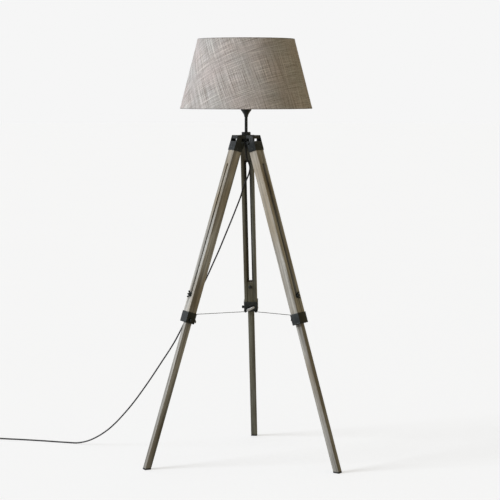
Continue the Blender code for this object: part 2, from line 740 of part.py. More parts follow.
def holder_mesh():
    """An open cup with a flange that the shade's fitter rests on."""
    flange_bottom = FLANGE_TOP - FLANGE_THICKNESS
    profile = [
        (HOLDER_RADIUS, HOLDER_TOP),
        (HOLDER_RADIUS, FLANGE_TOP),
        (FLANGE_RADIUS, FLANGE_TOP),
        (FLANGE_RADIUS, flange_bottom),
        (HOLDER_RADIUS, flange_bottom),
        (HOLDER_RADIUS, HOLDER_BOTTOM),
        (STEM_BORE_RADIUS, HOLDER_BOTTOM),
        (STEM_BORE_RADIUS, HOLDER_BOTTOM + HOLDER_BASE),
        (HOLDER_BORE_RADIUS, HOLDER_BOTTOM + HOLDER_BASE),
        (HOLDER_BORE_RADIUS, HOLDER_TOP),
    ]
    return turned(profile, closed=True)


def bulb_glass_mesh():
    """A round bulb whose neck sits just above the holder."""
    bottom = HOLDER_TOP + 2 * GAP
    middle = bottom + BULB_LENGTH - BULB_RADIUS
    turns = [math.radians(90 - 17.5 * i) for i in range(9)]
    profile = [(BULB_RADIUS * math.cos(a), middle + BULB_RADIUS * math.sin(a)) for a in turns]
    profile[0] = (0, middle + BULB_RADIUS)
    profile += [(BULB_NECK_RADIUS, bottom + BULB_NECK_LENGTH), (BULB_NECK_RADIUS, bottom), (0, bottom)]
    return turned(profile)


def shade_radius(height, inset=0.0):
    """The cone's radius at a height, moved inwards square to its surface."""
    share = (height - SHADE_BOTTOM) / SHADE_HEIGHT
    outer = SHADE_BOTTOM_RADIUS + (SHADE_TOP_RADIUS - SHADE_BOTTOM_RADIUS) * share
    return outer - inset / math.cos(SHADE_SLOPE)


def shade_skin_mesh(inset, thickness):
    profile = [
        (shade_radius(SHADE_TOP, inset), SHADE_TOP),
        (shade_radius(SHADE_BOTTOM, inset), SHADE_BOTTOM),
        (shade_radius(SHADE_BOTTOM, inset + thickness), SHADE_BOTTOM),
        (shade_radius(SHADE_TOP, inset + thickness), SHADE_TOP),
    ]
    return turned(profile, closed=True, steps=SHADE_STEPS)


def wire_ring_mesh(height):
    inset = FABRIC_THICKNESS + LINER_THICKNESS + 2 * GAP + WIRE_RADIUS
    radius = shade_radius(height, inset)
    profile = [(radius + u, height + v) for u, v in reversed(circle(WIRE_RADIUS, steps=6))]
    return turned(profile, closed=True, steps=SHADE_STEPS)


def shade_frame_mesh():
    """The bottom wire, with three arms to the fitter ring that the holder carries."""
    wire_level = SHADE_BOTTOM + WIRE_INSET
    reach = shade_radius(wire_level, FABRIC_THICKNESS + LINER_THICKNESS + 2 * GAP + WIRE_RADIUS)
    middle = FITTER_BOTTOM + FITTER_THICKNESS - 1.1 * FRAME_ARM_RADIUS
    mesh = ring(FITTER_RADIUS, HOLDER_RADIUS + GAP, FITTER_BOTTOM, FITTER_BOTTOM + FITTER_THICKNESS)
    mesh = joined(mesh, wire_ring_mesh(wire_level))
    start = FLANGE_RADIUS + 0.0015
    for azimuth in (30, 150, 270):
        turn = Matrix.Rotation(math.radians(azimuth), 4, "Z")
        route = [
            (start, 0, middle),
            (FITTER_RADIUS + 0.010, 0, middle),
            (FITTER_RADIUS + 0.025, 0, middle - 0.002),
            (reach - 0.025, 0, wire_level + 0.001),
            (reach, 0, wire_level),
        ]
        arm = evaluated_mesh(helper(tube_curve(route, FRAME_ARM_RADIUS)), turn)
        mesh = joined(mesh, arm)
    return mesh


# The pieces on the cord


def switch_mesh(middle):
    """A box with a tapered end for the cord on each side, and a pocket for its rocker."""
    half = SWITCH_LENGTH / 2
    body = box(
        (middle.x - half, middle.x + half),
        (middle.y - SWITCH_WIDTH / 2, middle.y + SWITCH_WIDTH / 2),
        (0, SWITCH_HEIGHT),
        SWITCH_ROUND,
    )
    for sign in (-1, 1):
        profile = [
            (0, half + SWITCH_RELIEF),
            (1.25 * CORD_RADIUS, half + SWITCH_RELIEF),
            (1.9 * CORD_RADIUS, half - SWITCH_ROUND),
            (0, half - SWITCH_ROUND),
        ]
        place = Matrix.Translation((middle.x, middle.y, CORD_LEVEL)) @ Matrix.Scale(sign, 4, (1, 0, 0))
        body = joined(body, turned(profile, steps=16, matrix=place @ ALONG_X))
    pocket_length = ROCKER_LENGTH / 2 + 2 * RUNNING
    pocket_width = ROCKER_WIDTH / 2 + RUNNING
    pocket = box(
        (middle.x - pocket_length, middle.x + pocket_length),
        (middle.y - pocket_width, middle.y + pocket_width),
        (SWITCH_HEIGHT - 1.6 * ROCKER_DEPTH, SWITCH_HEIGHT + 0.01),
    )
    return cut(body, pocket)


def rocker_mesh():
    """A key with a shallow V across its top, about its own hinge."""
    half = ROCKER_LENGTH / 2
    corners = [
        (-half, 0.0025),
        (-half * 0.9, -0.4 * ROCKER_DEPTH),
        (half * 0.9, -0.4 * ROCKER_DEPTH),
        (half, 0.0025),
        (0, 0.0008),
    ]
    return plate(corners, ROCKER_WIDTH, matrix=SIDE_ON)


def coil_mesh():
    outer = COIL_RADIUS + COIL_HALF_WIDTH
    inner = COIL_RADIUS - COIL_HALF_WIDTH
    low = TIE_THICKNESS + GAP
    high = low + COIL_HEIGHT
    ease = 0.4 * COIL_HALF_WIDTH
    profile = [
        (outer - ease, high),
        (outer, high - ease),
        (outer, low + ease),
        (outer - ease, low),
        (inner + ease, low),
        (inner, low + ease),
        (inner, high - ease),
        (inner + ease, high),
    ]
    return turned(profile, closed=True, steps=32)


def tie_mesh(middle):
    """A band round the coil's section, on the side away from the lamp."""
    reach = COIL_HALF_WIDTH + GAP + TIE_THICKNESS
    height = COIL_HEIGHT + 2 * GAP + 2 * TIE_THICKNESS
    x = middle.x - COIL_RADIUS
    y = (middle.y - TIE_WIDTH / 2, middle.y + TIE_WIDTH / 2)
    sagitta = COIL_RADIUS - math.sqrt(COIL_RADIUS**2 - (TIE_WIDTH / 2) ** 2) + GAP
    band = box((x - reach, x + reach + sagitta), y, (0, height))
    opening = box(
        (x - reach + TIE_THICKNESS, x + reach + sagitta - TIE_THICKNESS),
        (y[0] - 0.01, y[1] + 0.01),
        (TIE_THICKNESS, height - TIE_THICKNESS),
    )
    return cut(band, opening)


def plug_mesh(back, line):
    """A flat two-pin plug's body, whose tail meets the coil."""
    start = back + PLUG_TAIL_LENGTH
    half_width = PLUG_WIDTH / 2
    corners = [
        (start, line - 0.4 * half_width),
        (start + 0.4 * PLUG_LENGTH, line - half_width),
        (start + PLUG_LENGTH, line - half_width),
        (start + PLUG_LENGTH, line + half_width),
        (start + 0.4 * PLUG_LENGTH, line + half_width),
        (start, line + 0.4 * half_width),
    ]
    outline = rounded(corners, [0.003, 0.008, 0.003, 0.003, 0.008, 0.003])
    body = plate(outline, PLUG_HEIGHT, matrix=Matrix.Translation((0, 0, PLUG_HEIGHT / 2)))
    profile = [
        (0, PLUG_TAIL_LENGTH + 0.004),
        (1.7 * CORD_RADIUS, PLUG_TAIL_LENGTH + 0.004),
        (1.2 * CORD_RADIUS, 0),
        (0, 0),
    ]
    tail = turned(profile, steps=16, matrix=Matrix.Translation((back, line, PLUG_HEIGHT / 2)) @ ALONG_X)
    return joined(body, tail)


def pin_mesh(face, line):
    place = Matrix.Translation((face, line, PLUG_HEIGHT / 2)) @ ALONG_X
    profile = [(0, PIN_LENGTH), (0.6 * PIN_RADIUS, PIN_LENGTH), (PIN_RADIUS, PIN_LENGTH - 0.0015)]
    profile += [(PIN_RADIUS, 0), (0, 0)]
    return turned(profile, steps=12, matrix=place)


# Placing the pieces


def add_piece(collection, name, data, material, parent=None, location=(0, 0, 0), smooth=True):
    obj = bpy.data.objects.new(name, data)
    collection.objects.link(obj)
    obj.parent = parent
    obj.location = location
    if not data.materials:
        data.materials.append(material)
    if smooth and obj.type == "MESH":
        data.shade_smooth()
        data.set_sharp_from_angle(angle=math.radians(32))
    return obj


def add_empty(collection, name, matrix):
    empty = bpy.data.objects.new(name, None)
    collection.objects.link(empty)
    empty.empty_display_size = 0.05
    empty.matrix_world = matrix
    return empty


def add_legs(parts, materials):
    at_bolt = (0, 0, BOLT_LEVEL)
    shared = {
        "leg_cap": (leg_cap_mesh(), "black", (0, 0, 0)),
        "pivot_bolt": (pivot_bolt_mesh(), "black", (0, 0, 0)),
        "pivot_nut": (pivot_nut_mesh(), "black", (0, 0, 0)),
        "upper_leg": (upper_leg_mesh(), "wood", (0, 0, 0)),
        "collar_screw": (side_screw_mesh(), "black", (LEG_OFFSET, 0, SIDE_SCREW_LEVEL)),
        "key_screw": (key_screw_mesh(), "steel", (0, 0, KEY_LEVEL)),
        "lower_leg": (lower_leg_mesh(), "wood", (0, 0, 0)),
        "foot_pad": (foot_pad_mesh(), "rubber", (0, 0, 0)),
        "slot_bolt": (slot_bolt_mesh(), "black", at_bolt),
        "slot_washer": (washer_mesh(), "black", at_bolt),
        "wing_nut": (wing_nut_mesh(), "black", at_bolt),
    }
    for side, azimuth in LEG_AZIMUTHS.items():
        hinge = add_empty(parts, f"leg_frame_{side}", leg_matrix(azimuth))
        for name, (mesh, material, location) in shared.items():
            add_piece(parts, f"{name}_{side}", mesh, materials[material], hinge, location)
        collar = collar_mesh(EYE_LEVELS[side], EYE_SIDES[side])
        add_piece(parts, f"collar_{side}", collar, materials["black"], hinge)


def eye_place(side, sign):
    tip = (COLLAR_INNER - EYE_REACH + EYE_WIDTH / 2, sign * EYE_SIDE, EYE_LEVELS[side])
    return leg_matrix(LEG_AZIMUTHS[side]) @ Vector(tip)


def add_chains(parts, materials):
    """Thin rods in place of the chains, from the rear collar's eyes to each front collar's."""
    for side, sign in (("left", 1), ("right", -1)):
        rear = eye_place("rear", sign)
        front = eye_place(side, -sign)
        along = (front - rear).normalized()
        ends = [rear + along * CHAIN_STAND_OFF, front - along * CHAIN_STAND_OFF]
        curve = tube_curve(ends, CHAIN_RADIUS)
        add_piece(parts, f"chain_{side}", curve, materials["steel"])


def add_head(parts, materials, axis):
    """Everything about the lamp's axis above the legs."""
    flex_top = HOLDER_BOTTOM + HOLDER_BASE - 0.001
    pieces = {
        "hub_casting": (hub_mesh(), "black"),
        "hub_sleeve_nut": (sleeve_mesh(), "black"),
        "strain_relief": (strain_relief_mesh(), "cord"),
        "stem_tube": (
            ring(STEM_RADIUS, STEM_BORE_RADIUS, HUB_TOP - STEM_IN_HUB, FUNNEL_BOTTOM + STEM_IN_FUNNEL),
            "black",
        ),
        "inner_flex": (rod(CORD_RADIUS, RELIEF_END + GAP, flex_top), "cord"),
        "holder_funnel": (funnel_mesh(), "black"),
        "holder_body": (holder_mesh(), "black"),
        "shade_ring_nut": (
            ring(RING_NUT_RADIUS, HOLDER_RADIUS + GAP, RING_NUT_BOTTOM, RING_NUT_BOTTOM + RING_NUT_HEIGHT),
            "black",
        ),
        "bulb_cap": (
            rod(BULB_CAP_RADIUS, HOLDER_BOTTOM + HOLDER_BASE + 0.002, HOLDER_TOP + GAP, steps=24),
            "nickel",
        ),
        "bulb_glass": (bulb_glass_mesh(), "glass"),
        "shade_fabric": (shade_skin_mesh(0, FABRIC_THICKNESS), "linen"),
        "shade_liner": (shade_skin_mesh(FABRIC_THICKNESS + GAP, LINER_THICKNESS), "liner"),
        "shade_frame": (shade_frame_mesh(), "black"),
        "shade_top_wire": (wire_ring_mesh(SHADE_TOP - WIRE_INSET), "black"),
    }
    for name, (mesh, material) in pieces.items():
        add_piece(parts, name, mesh, materials[material], axis)


def add_cord(parts, materials, axis):
    """The free cord: a tube along the floor to its switch, then a tied coil and the plug beside it."""
    route = [(0, 0, RELIEF_END - GAP), *CORD_ROUTE]
    line = smooth_line(route, CORD_POINTS)
    add_piece(parts, "cord_tube", tube_curve(line, CORD_RADIUS), materials["cord"], axis)
    end = Vector(route[-1])
    switch = Vector((end.x - GAP - SWITCH_RELIEF - SWITCH_LENGTH / 2, end.y, 0))
    add_piece(parts, "cord_switch", switch_mesh(switch), materials["cord"], axis)
    hinge = (switch.x, switch.y, SWITCH_HEIGHT - 0.0012)
    rocker = add_piece(parts, "switch_rocker", rocker_mesh(), materials["cord"], axis, hinge)
    rocker.rotation_euler = (0, ROCKER_TILT, 0)
    coil_x = switch.x - SWITCH_LENGTH / 2 - SWITCH_RELIEF - COIL_CLEAR
    coil = Vector((coil_x, end.y + COIL_RADIUS, 0))
    add_piece(parts, "cord_coil", coil_mesh(), materials["cord"], axis, coil)
    add_piece(parts, "coil_tie", tie_mesh(coil), materials["cord"], axis, smooth=False)
    plug_line = coil.y + COIL_RADIUS
    back = coil.x + COIL_CLEAR
    add_piece(parts, "plug_body", plug_mesh(back, plug_line), materials["cord"], axis)
    face = back + PLUG_TAIL_LENGTH + PLUG_LENGTH + GAP
    for name, sign in (("plug_pin_near", -1), ("plug_pin_far", 1)):
        mesh = pin_mesh(face, plug_line + sign * PIN_SPACING / 2)
        add_piece(parts, name, mesh, materials["nickel"], axis)


def main():
    clear_scene()
    parts = new_collection("tripod_floor_lamp")
    materials = {
        "black": new_material("black_steel", (0.018, 0.021, 0.020), 0.42, 0.6),
        "wood": new_material("grey_washed_wood", (0.30, 0.27, 0.21), 0.62),
        "rubber": new_material("dark_rubber", (0.02, 0.02, 0.02), 0.85),
        "steel": new_material("satin_steel", (0.45, 0.45, 0.44), 0.35, 1.0),
        "cord": new_material("black_flex", (0.015, 0.015, 0.015), 0.5),
        "nickel": new_material("nickel", (0.55, 0.54, 0.51), 0.28, 1.0),
        "glass": new_material("opal_glass", (0.85, 0.85, 0.82), 0.12, alpha=0.5),
        "linen": new_material("taupe_linen", (0.36, 0.33, 0.30), 0.9),
        "liner": new_material("white_liner", (0.80, 0.79, 0.75), 0.6),
    }
    axis = add_empty(parts, "lamp_axis", Matrix.Translation((0, AXIS_Y, 0)))
    add_head(parts, materials, axis)
    add_legs(parts, materials)
    add_chains(parts, materials)
    add_cord(parts, materials, axis)


main()
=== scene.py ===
import json
import math
import random

import bmesh
import bpy
from mathutils import Matrix, Vector


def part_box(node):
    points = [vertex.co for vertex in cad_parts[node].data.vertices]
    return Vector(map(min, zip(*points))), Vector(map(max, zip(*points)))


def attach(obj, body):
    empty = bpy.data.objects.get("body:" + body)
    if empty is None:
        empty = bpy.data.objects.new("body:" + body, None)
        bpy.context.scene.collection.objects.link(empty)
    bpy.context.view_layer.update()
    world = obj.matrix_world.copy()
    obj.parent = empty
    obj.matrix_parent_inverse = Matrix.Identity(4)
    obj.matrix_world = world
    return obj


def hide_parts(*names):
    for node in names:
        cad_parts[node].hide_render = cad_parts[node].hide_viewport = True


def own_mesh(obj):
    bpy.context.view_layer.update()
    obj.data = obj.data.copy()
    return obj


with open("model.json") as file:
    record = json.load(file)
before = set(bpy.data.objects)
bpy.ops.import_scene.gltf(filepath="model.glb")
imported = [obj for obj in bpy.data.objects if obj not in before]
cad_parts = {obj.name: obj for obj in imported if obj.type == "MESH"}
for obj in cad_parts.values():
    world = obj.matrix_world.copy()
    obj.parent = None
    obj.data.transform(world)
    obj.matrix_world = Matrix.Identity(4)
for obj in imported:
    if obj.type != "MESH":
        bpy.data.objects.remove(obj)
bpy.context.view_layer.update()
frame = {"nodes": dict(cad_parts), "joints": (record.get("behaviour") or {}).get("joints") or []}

# Where the lamp's own lines lie, read from the frame
joints = {joint["name"]: joint for joint in frame["joints"]}
axisY = joints["bulb_turn"]["pos_m"][1]
sides = ("rear", "left", "right")
slack = 0.0003  # left between pieces that touch
boltHole = 0.0033  # radius, a little over the bolts' own


def moved(x, y, z):
    return Matrix.Translation((x, y, z))


def intoScene(obj):
    bpy.context.scene.collection.objects.link(obj)


lampAxis = moved(0, axisY, 0)



def legPlace(side):
    # the pivot is the origin, X points outwards, square to the leg, and Z runs up along it
    up = Vector(joints["leg_slide_" + side]["axis"]).normalized()
    out = Vector(joints["wing_nut_turn_" + side]["axis"])
    out = (out - up * out.dot(up)).normalized()
    turn = Matrix((out, up.cross(out), up)).transposed().to_4x4()
    return Matrix.Translation(joints["leg_fold_" + side]["pos_m"]) @ turn


legs = {side: legPlace(side) for side in sides}


def boxIn(place, node):
    # a node's lowest and highest corner in a place of its own
    back = place.inverted()
    points = [back @ vertex.co for vertex in frame["nodes"][node].data.vertices]
    low = Vector([min(p[i] for p in points) for i in range(3)])
    high = Vector([max(p[i] for p in points) for i in range(3)])
    return low, high


# Tools for making shapes


def meshFrom(shape, name):
    bmesh.ops.recalc_face_normals(shape, faces=shape.faces)
    mesh = bpy.data.meshes.new(name)
    shape.to_mesh(mesh)
    shape.free()
    return mesh


def bakedDown(data, place=None):
    # a curve's mesh, welded and moved to its place
    obj = bpy.data.objects.new("shaping", data)
    intoScene(obj)
    graph = bpy.context.evaluated_depsgraph_get()
    graph.update()
    mesh = bpy.data.meshes.new_from_object(obj.evaluated_get(graph))
    bpy.data.objects.remove(obj)
    shape = bmesh.new()
    shape.from_mesh(mesh)
    bmesh.ops.remove_doubles(shape, verts=shape.verts, dist=0.000002)
    if place:
        bmesh.ops.transform(shape, matrix=place, verts=shape.verts)
    return meshFrom(shape, data.name)


def lathe(profile, steps=72, closed=True, place=None, relief=None):
    # (radius, height) points turned about Z; relief(angle, radius, height) gives what is cut away there
    shape = bmesh.new()
    rings = []
    for radius, height in profile:
        ring = []
        for i in range(1 if radius < 0.00001 else steps):
            angle = 2 * math.pi * i / steps
            r = radius
            if relief and radius >= 0.00001:
                r -= relief(angle, radius, height)
            ring.append(shape.verts.new((r * math.cos(angle), r * math.sin(angle), height)))
        rings.append(ring)
    pairs = list(zip(rings, rings[1:]))
    if closed:
        pairs.append((rings[-1], rings[0]))
    for a, b in pairs:
        for i in range(steps):
            j = (i + 1) % steps
            corners = [a[i % len(a)], a[j % len(a)], b[j % len(b)], b[i % len(b)]]
            corners = [c for n, c in enumerate(corners) if c not in corners[:n]]
            if len(corners) > 2:
                shape.faces.new(corners)
    if place:
        bmesh.ops.transform(shape, matrix=place, verts=shape.verts)
    return meshFrom(shape, "turned")


def eased(points, radii, steps=4, closed=True):
    # an outline with its corners rounded; one radius for all, or one for each corner
    if not hasattr(radii, "__len__"):
        radii = [radii] * len(points)
    soft = []
    for i, (corner, radius) in enumerate(zip(points, radii)):
        here = Vector(corner)
        if not radius or (not closed and i in (0, len(points) - 1)):
            soft.append(tuple(here))
            continue
        back = Vector(points[i - 1]) - here
        on = Vector(points[(i + 1) % len(points)]) - here
        half = back.angle(on) / 2
        reach = min(radius / math.tan(half), 0.49 * back.length, 0.49 * on.length)
        radius = reach * math.tan(half)
        back.normalize()
        on.normalize()
        middle = here + (back + on).normalized() * radius / math.sin(half)
        first = here + back * reach - middle
        sweep = first.angle_signed(here + on * reach - middle)
        for k in range(steps + 1):
            soft.append(tuple(middle + Matrix.Rotation(-sweep * k / steps, 2) @ first))
    return soft


def disc(radius, middle=(0, 0), steps=24):
    turns = [2 * math.pi * i / steps for i in range(steps)]
    return [(middle[0] + radius * math.cos(a), middle[1] + radius * math.sin(a)) for a in turns]


def sheetPlate(outline, thickness, edge, holes=(), place=None):
    # a flat plate centred on z = 0, whose edges are broken by a small round
    curve = bpy.data.curves.new("plate", "CURVE")
    curve.dimensions = "2D"
    curve.fill_mode = "BOTH"
    curve.extrude = thickness / 2 - edge
    curve.bevel_depth = edge
    curve.bevel_resolution = 2
    curve.offset = -edge
    for loop in (outline, *holes):
        spline = curve.splines.new("POLY")
        spline.points.add(len(loop) - 1)
        for point, (u, v) in zip(spline.points, loop):
            point.co = (u, v, 0, 1)
        spline.use_cyclic_u = True
    return bakedDown(curve, place)


def roundCurve(name, points, radius, fineness, closed=False):
    curve = bpy.data.curves.new(name, "CURVE")
    curve.dimensions = "3D"
    curve.bevel_depth = radius
    curve.bevel_resolution = fineness
    curve.use_fill_caps = not closed
    spline = curve.splines.new("POLY")
    spline.points.add(len(points) - 1)
    for point, spot in zip(spline.points, points):
        point.co = (*spot, 1)
    spline.use_cyclic_u = closed
    return curve


def wire(points, radius, closed=False, fineness=2, place=None):
    return bakedDown(roundCurve("wire", points, radius, fineness, closed), place)


def block(low, high, edge, segments=3, place=None):
    size = [b - a for a, b in zip(low, high)]
    middle = [(a + b) / 2 for a, b in zip(low, high)]
    shape = bmesh.new()
    bmesh.ops.create_cube(shape, size=1)
    bmesh.ops.scale(shape, vec=size, verts=shape.verts)
    bmesh.ops.translate(shape, vec=middle, verts=shape.verts)
    if edge:
        bmesh.ops.bevel(
            shape, geom=shape.edges, offset=edge, segments=segments, affect="EDGES", profile=0.5
        )
    if place:
        bmesh.ops.transform(shape, matrix=place, verts=shape.verts)
    return meshFrom(shape, "block")


def together(*meshes):
    shape = bmesh.new()
    for mesh in meshes:
        shape.from_mesh(mesh)
    mesh = bpy.data.meshes.new("together")
    shape.to_mesh(mesh)
    shape.free()
    return mesh


def carved(mesh, cutters, edge, segments=2, welded=(), kept=()):
    # pieces welded on, the rest cut off outside the kept ones, cutters taken out, then sharp edges broken
    body = bpy.data.objects.new("carving", mesh)
    intoScene(body)
    tools = []
    steps = [(m, "UNION") for m in welded] + [(m, "INTERSECT") for m in kept]
    for other, way in steps + [(m, "DIFFERENCE") for m in cutters]:
        tool = bpy.data.objects.new("cutter", other)
        intoScene(tool)
        tools.append(tool)
        boolean = body.modifiers.new("cut", "BOOLEAN")
        boolean.operation = way
        boolean.solver = "EXACT"
        boolean.object = tool
    if edge:
        bevel = body.modifiers.new("edges", "BEVEL")
        bevel.width = edge
        bevel.segments = segments
        bevel.limit_method = "ANGLE"
        bevel.angle_limit = math.radians(40)
    graph = bpy.context.evaluated_depsgraph_get()
    graph.update()
    result = bpy.data.meshes.new_from_object(body.evaluated_get(graph))
    for obj in (body, *tools):
        bpy.data.objects.remove(obj)
    return result


def settle(node, mesh, finish, body, place=None, sharp=35, name=None):
    # a mesh becomes a piece that rides on a body and stands for a CAD node, from which it takes its name
    if not name:
        first, *rest = node.split("_")
        name = first + "".join(word.capitalize() for word in rest)
    obj = bpy.data.objects.new(name, mesh)
    intoScene(obj)
    mesh.materials.clear()
    mesh.materials.append(finishes.get(finish, finish))
    mesh.shade_smooth()
    mesh.set_sharp_from_angle(angle=math.radians(sharp))
    if place:
        obj.matrix_world = place
    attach(obj, body)
    if node:
        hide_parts(node)
    return obj


alongX = Matrix.Rotation(math.pi / 2, 4, "Y")  # Z becomes X
alongY = Matrix.Rotation(-math.pi / 2, 4, "X")  # Z becomes Y
sideOn = Matrix(((1, 0, 0, 0), (0, 0, 1, 0), (0, 1, 0, 0), (0, 0, 0, 1)))  # XY becomes XZ
faceOn = Matrix(((0, 0, 1, 0), (1, 0, 0, 0), (0, 1, 0, 0), (0, 0, 0, 1)))  # XY becomes YZ

# Finishes


class nodeKit:
    # adds nodes to one tree and joins them up
    def __init__(self, tree):
        self.nodes = tree.nodes
        self.links = tree.links

    def give(self, socket, value):
        # a socket takes another node's output, a colour or a number
        if hasattr(value, "is_linked"):
            self.links.new(value, socket)
        elif hasattr(value, "__len__"):
            socket.default_value = (*value, 1)
        else:
            socket.default_value = value

    def feed(self, name, value):
        self.links.new(value, self.shader.inputs[name])

    def spots(self, scale, stretch=(1, 1, 1), shift=(0, 0, 0), source="Object", detail=4, turn=0):
        # noise over the piece's own coordinates; stretch is how much longer its spots are along each axis
        where = self.nodes.new("ShaderNodeTexCoord")
        mapping = self.nodes.new("ShaderNodeMapping")
        mapping.vector_type = "TEXTURE"
        mapping.inputs["Location"].default_value = shift
        mapping.inputs["Rotation"].default_value = (0, 0, turn)
        mapping.inputs["Scale"].default_value = stretch
        spots = self.nodes.new("ShaderNodeTexNoise")
        spots.inputs["Scale"].default_value = scale
        spots.inputs["Detail"].default_value = detail
        self.links.new(where.outputs[source], mapping.inputs["Vector"])
        self.links.new(mapping.outputs["Vector"], spots.inputs["Vector"])
        return spots.outputs["Fac"]

    def ramp(self, value, *stops):
        # stops are (position, grey or colour)
        ramp = self.nodes.new("ShaderNodeValToRGB")
        elements = ramp.color_ramp.elements
        while len(elements) < len(stops):
            elements.new(0.5)
        for element, (position, color) in zip(elements, stops):
            element.position = position
            color = (color,) * 3 if not hasattr(color, "__len__") else color
            element.color = (*color, 1)
        self.links.new(value, ramp.inputs["Fac"])
        return ramp.outputs["Color"]

    def mix(self, share, a, b, way="MIX"):
        mix = self.nodes.new("ShaderNodeMix")
        mix.data_type = "RGBA"
        mix.blend_type = way
        for number, value in ((0, share), (6, a), (7, b)):
            self.give(mix.inputs[number], value)
        return mix.outputs[2]

    def sum(self, a, b, way="ADD"):
        sums = self.nodes.new("ShaderNodeMath")
        sums.operation = way
        self.give(sums.inputs[0], a)
        self.give(sums.inputs[1], b)
        return sums.outputs[0]

    def bump(self, height, distance, strength=1.0):
        bump = self.nodes.new("ShaderNodeBump")
        bump.inputs["Distance"].default_value = distance
        bump.inputs["Strength"].default_value = strength
        self.links.new(height, bump.inputs["Height"])
        self.feed("Normal", bump.outputs["Normal"])

    def edges(self, low, high):
        # bright where an outer edge is sharp enough to wear
        geometry = self.nodes.new("ShaderNodeNewGeometry")
        return self.ramp(geometry.outputs["Pointiness"], (low, 0), (high, 1))


def newFinish(name, **values):
    finish = bpy.data.materials.new(name)
    finish.use_nodes = True
    look = nodeKit(finish.node_tree)
    look.shader = look.nodes["Principled BSDF"]
    for socket, value in values.items():
        look.shader.inputs[socket.replace("_", " ")].default_value = value
    return finish, look


woodLook = {
    "wash": (0.490, 0.488, 0.452),
    "brown": (0.235, 0.190, 0.122),
    "dark": (0.110, 0.096, 0.070),
    "worn": (0.56, 0.52, 0.43),
    "grainLength": 30,
    "grainScale": 210,
    "shadeInsideUpper": 0.36,  # how dark the painted shade is on the faces towards the lamp's axis and in the channel
    "shadeInsideLower": 0.60,
    "lowerTones": ((0.54, 0.73), (0.97, 0.56)),  # from the collar down to the foot
}


def woodFinish(name, seed, lower):
    inside = woodLook["shadeInsideLower" if lower else "shadeInsideUpper"]
    finish, look = newFinish(name, Specular_IOR_Level=0.35)
    draw = random.Random(seed)
    shift = (draw.random(), draw.random(), draw.random())
    length = woodLook["grainLength"]
    fine = look.spots(woodLook["grainScale"], (1, 1, length), shift, detail=6)
    broad = look.spots(60, (1, 1, length * 0.7), shift, detail=4)
    patches = look.spots(11, (1, 1, 3.2), shift, detail=3)
    pores = look.spots(900, (1, 1, 16), shift, detail=1)
    bleached = look.ramp(patches, (0.40, 0), (0.62, 1))
    ground = look.mix(bleached, woodLook["wash"], woodLook["brown"])
    streaks = look.ramp(broad, (0.36, 0.52), (0.50, 0.96), (0.64, 1.22))
    ground = look.mix(1.0, ground, streaks, "MULTIPLY")
    lines = look.ramp(fine, (0.36, 1), (0.50, 0))
    ground = look.mix(look.sum(lines, 0.72, "MULTIPLY"), ground, woodLook["dark"])
    dots = look.ramp(pores, (0.30, 1), (0.40, 0))
    ground = look.mix(look.sum(dots, 0.5, "MULTIPLY"), ground, woodLook["dark"])
    wear = look.sum(look.edges(0.51, 0.58), broad, "MULTIPLY")
    ground = look.mix(wear, ground, woodLook["worn"])
    where = look.nodes.new("ShaderNodeTexCoord")
    facing = look.nodes.new("ShaderNodeSeparateXYZ")
    look.links.new(where.outputs["Normal"], facing.inputs["Vector"])
    place = look.nodes.new("ShaderNodeSeparateXYZ")
    look.links.new(where.outputs["Object"], place.inputs["Vector"])
    # painted shade: the faces towards the lamp's axis and the upper leg's channel are darkened as if in
    # shadow
    towards = look.sum(facing.outputs["X"], -1.0, "MULTIPLY")
    towards = look.ramp(towards, (0.45, 0), (0.80, 1))
    width = look.sum(place.outputs["Y"], 0.0, "ABSOLUTE")
    grooved = look.ramp(look.sum(width, 50.0, "MULTIPLY"), (0.60, 1), (0.64, 0))
    depth = look.ramp(look.sum(place.outputs["X"], 30.0, "MULTIPLY"), (0.54, 1), (0.56, 0))
    grooved = look.sum(grooved, depth, "MULTIPLY")
    if lower:
        grooved = 0.0
    paintedShade = look.sum(towards, grooved, "MAXIMUM")
    # the painted shade darkens the wood's colour on those faces
    shadeOf = look.ramp(paintedShade, (0.0, 1.0), (1.0, (inside * 0.96, inside, inside * 0.88)))
    ground = look.mix(1.0, ground, shadeOf, "MULTIPLY")
    if lower:
        down = look.sum(place.outputs["Z"], -0.8, "MULTIPLY")
        ground = look.mix(1.0, ground, look.ramp(down, *woodLook["lowerTones"]), "MULTIPLY")
    look.feed("Base Color", ground)
    look.feed("Roughness", look.ramp(fine, (0.3, 0.80), (0.7, 0.54)))
    height = look.sum(fine, look.sum(dots, -0.5, "MULTIPLY"))
    look.bump(height, 0.0006, 0.7)
    return finish


metalLook = {"color": (0.016, 0.020, 0.0195), "worn": (0.075, 0.083, 0.080), "dust": (0.05, 0.052, 0.048)}


def blackFinish(name, rough=0.40, grain=0.00012, metallic=0.35):
    finish, look = newFinish(name, Metallic=metallic, Specular_IOR_Level=0.5)
    speckle = look.spots(900, detail=3)
    cloud = look.spots(38, detail=4)
    ground = look.mix(look.ramp(cloud, (0.4, 0), (0.8, 0.55)), metalLook["color"], metalLook["dust"])
    wear = look.sum(look.edges(0.53, 0.64), look.ramp(cloud, (0.3, 0.1), (0.7, 1)), "MULTIPLY")
    ground = look.mix(wear, ground, metalLook["worn"])
    look.feed("Base Color", ground)
    look.feed("Roughness", look.ramp(cloud, (0.3, rough - 0.06), (0.75, rough + 0.12)))
    look.bump(speckle, grain, 0.5)
    return finish


def steelFinish(name, color, rough):
    finish, look = newFinish(name, Metallic=1.0)
    brushed = look.spots(1400, (1, 1, 20), detail=2)
    cloud = look.spots(160, detail=3)
    tone = look.ramp(cloud, (0.3, [0.72 * c for c in color]), (0.6, color))
    look.feed("Base Color", tone)
    look.feed("Roughness", look.ramp(brushed, (0.3, rough - 0.08), (0.7, rough + 0.10)))
    return finish


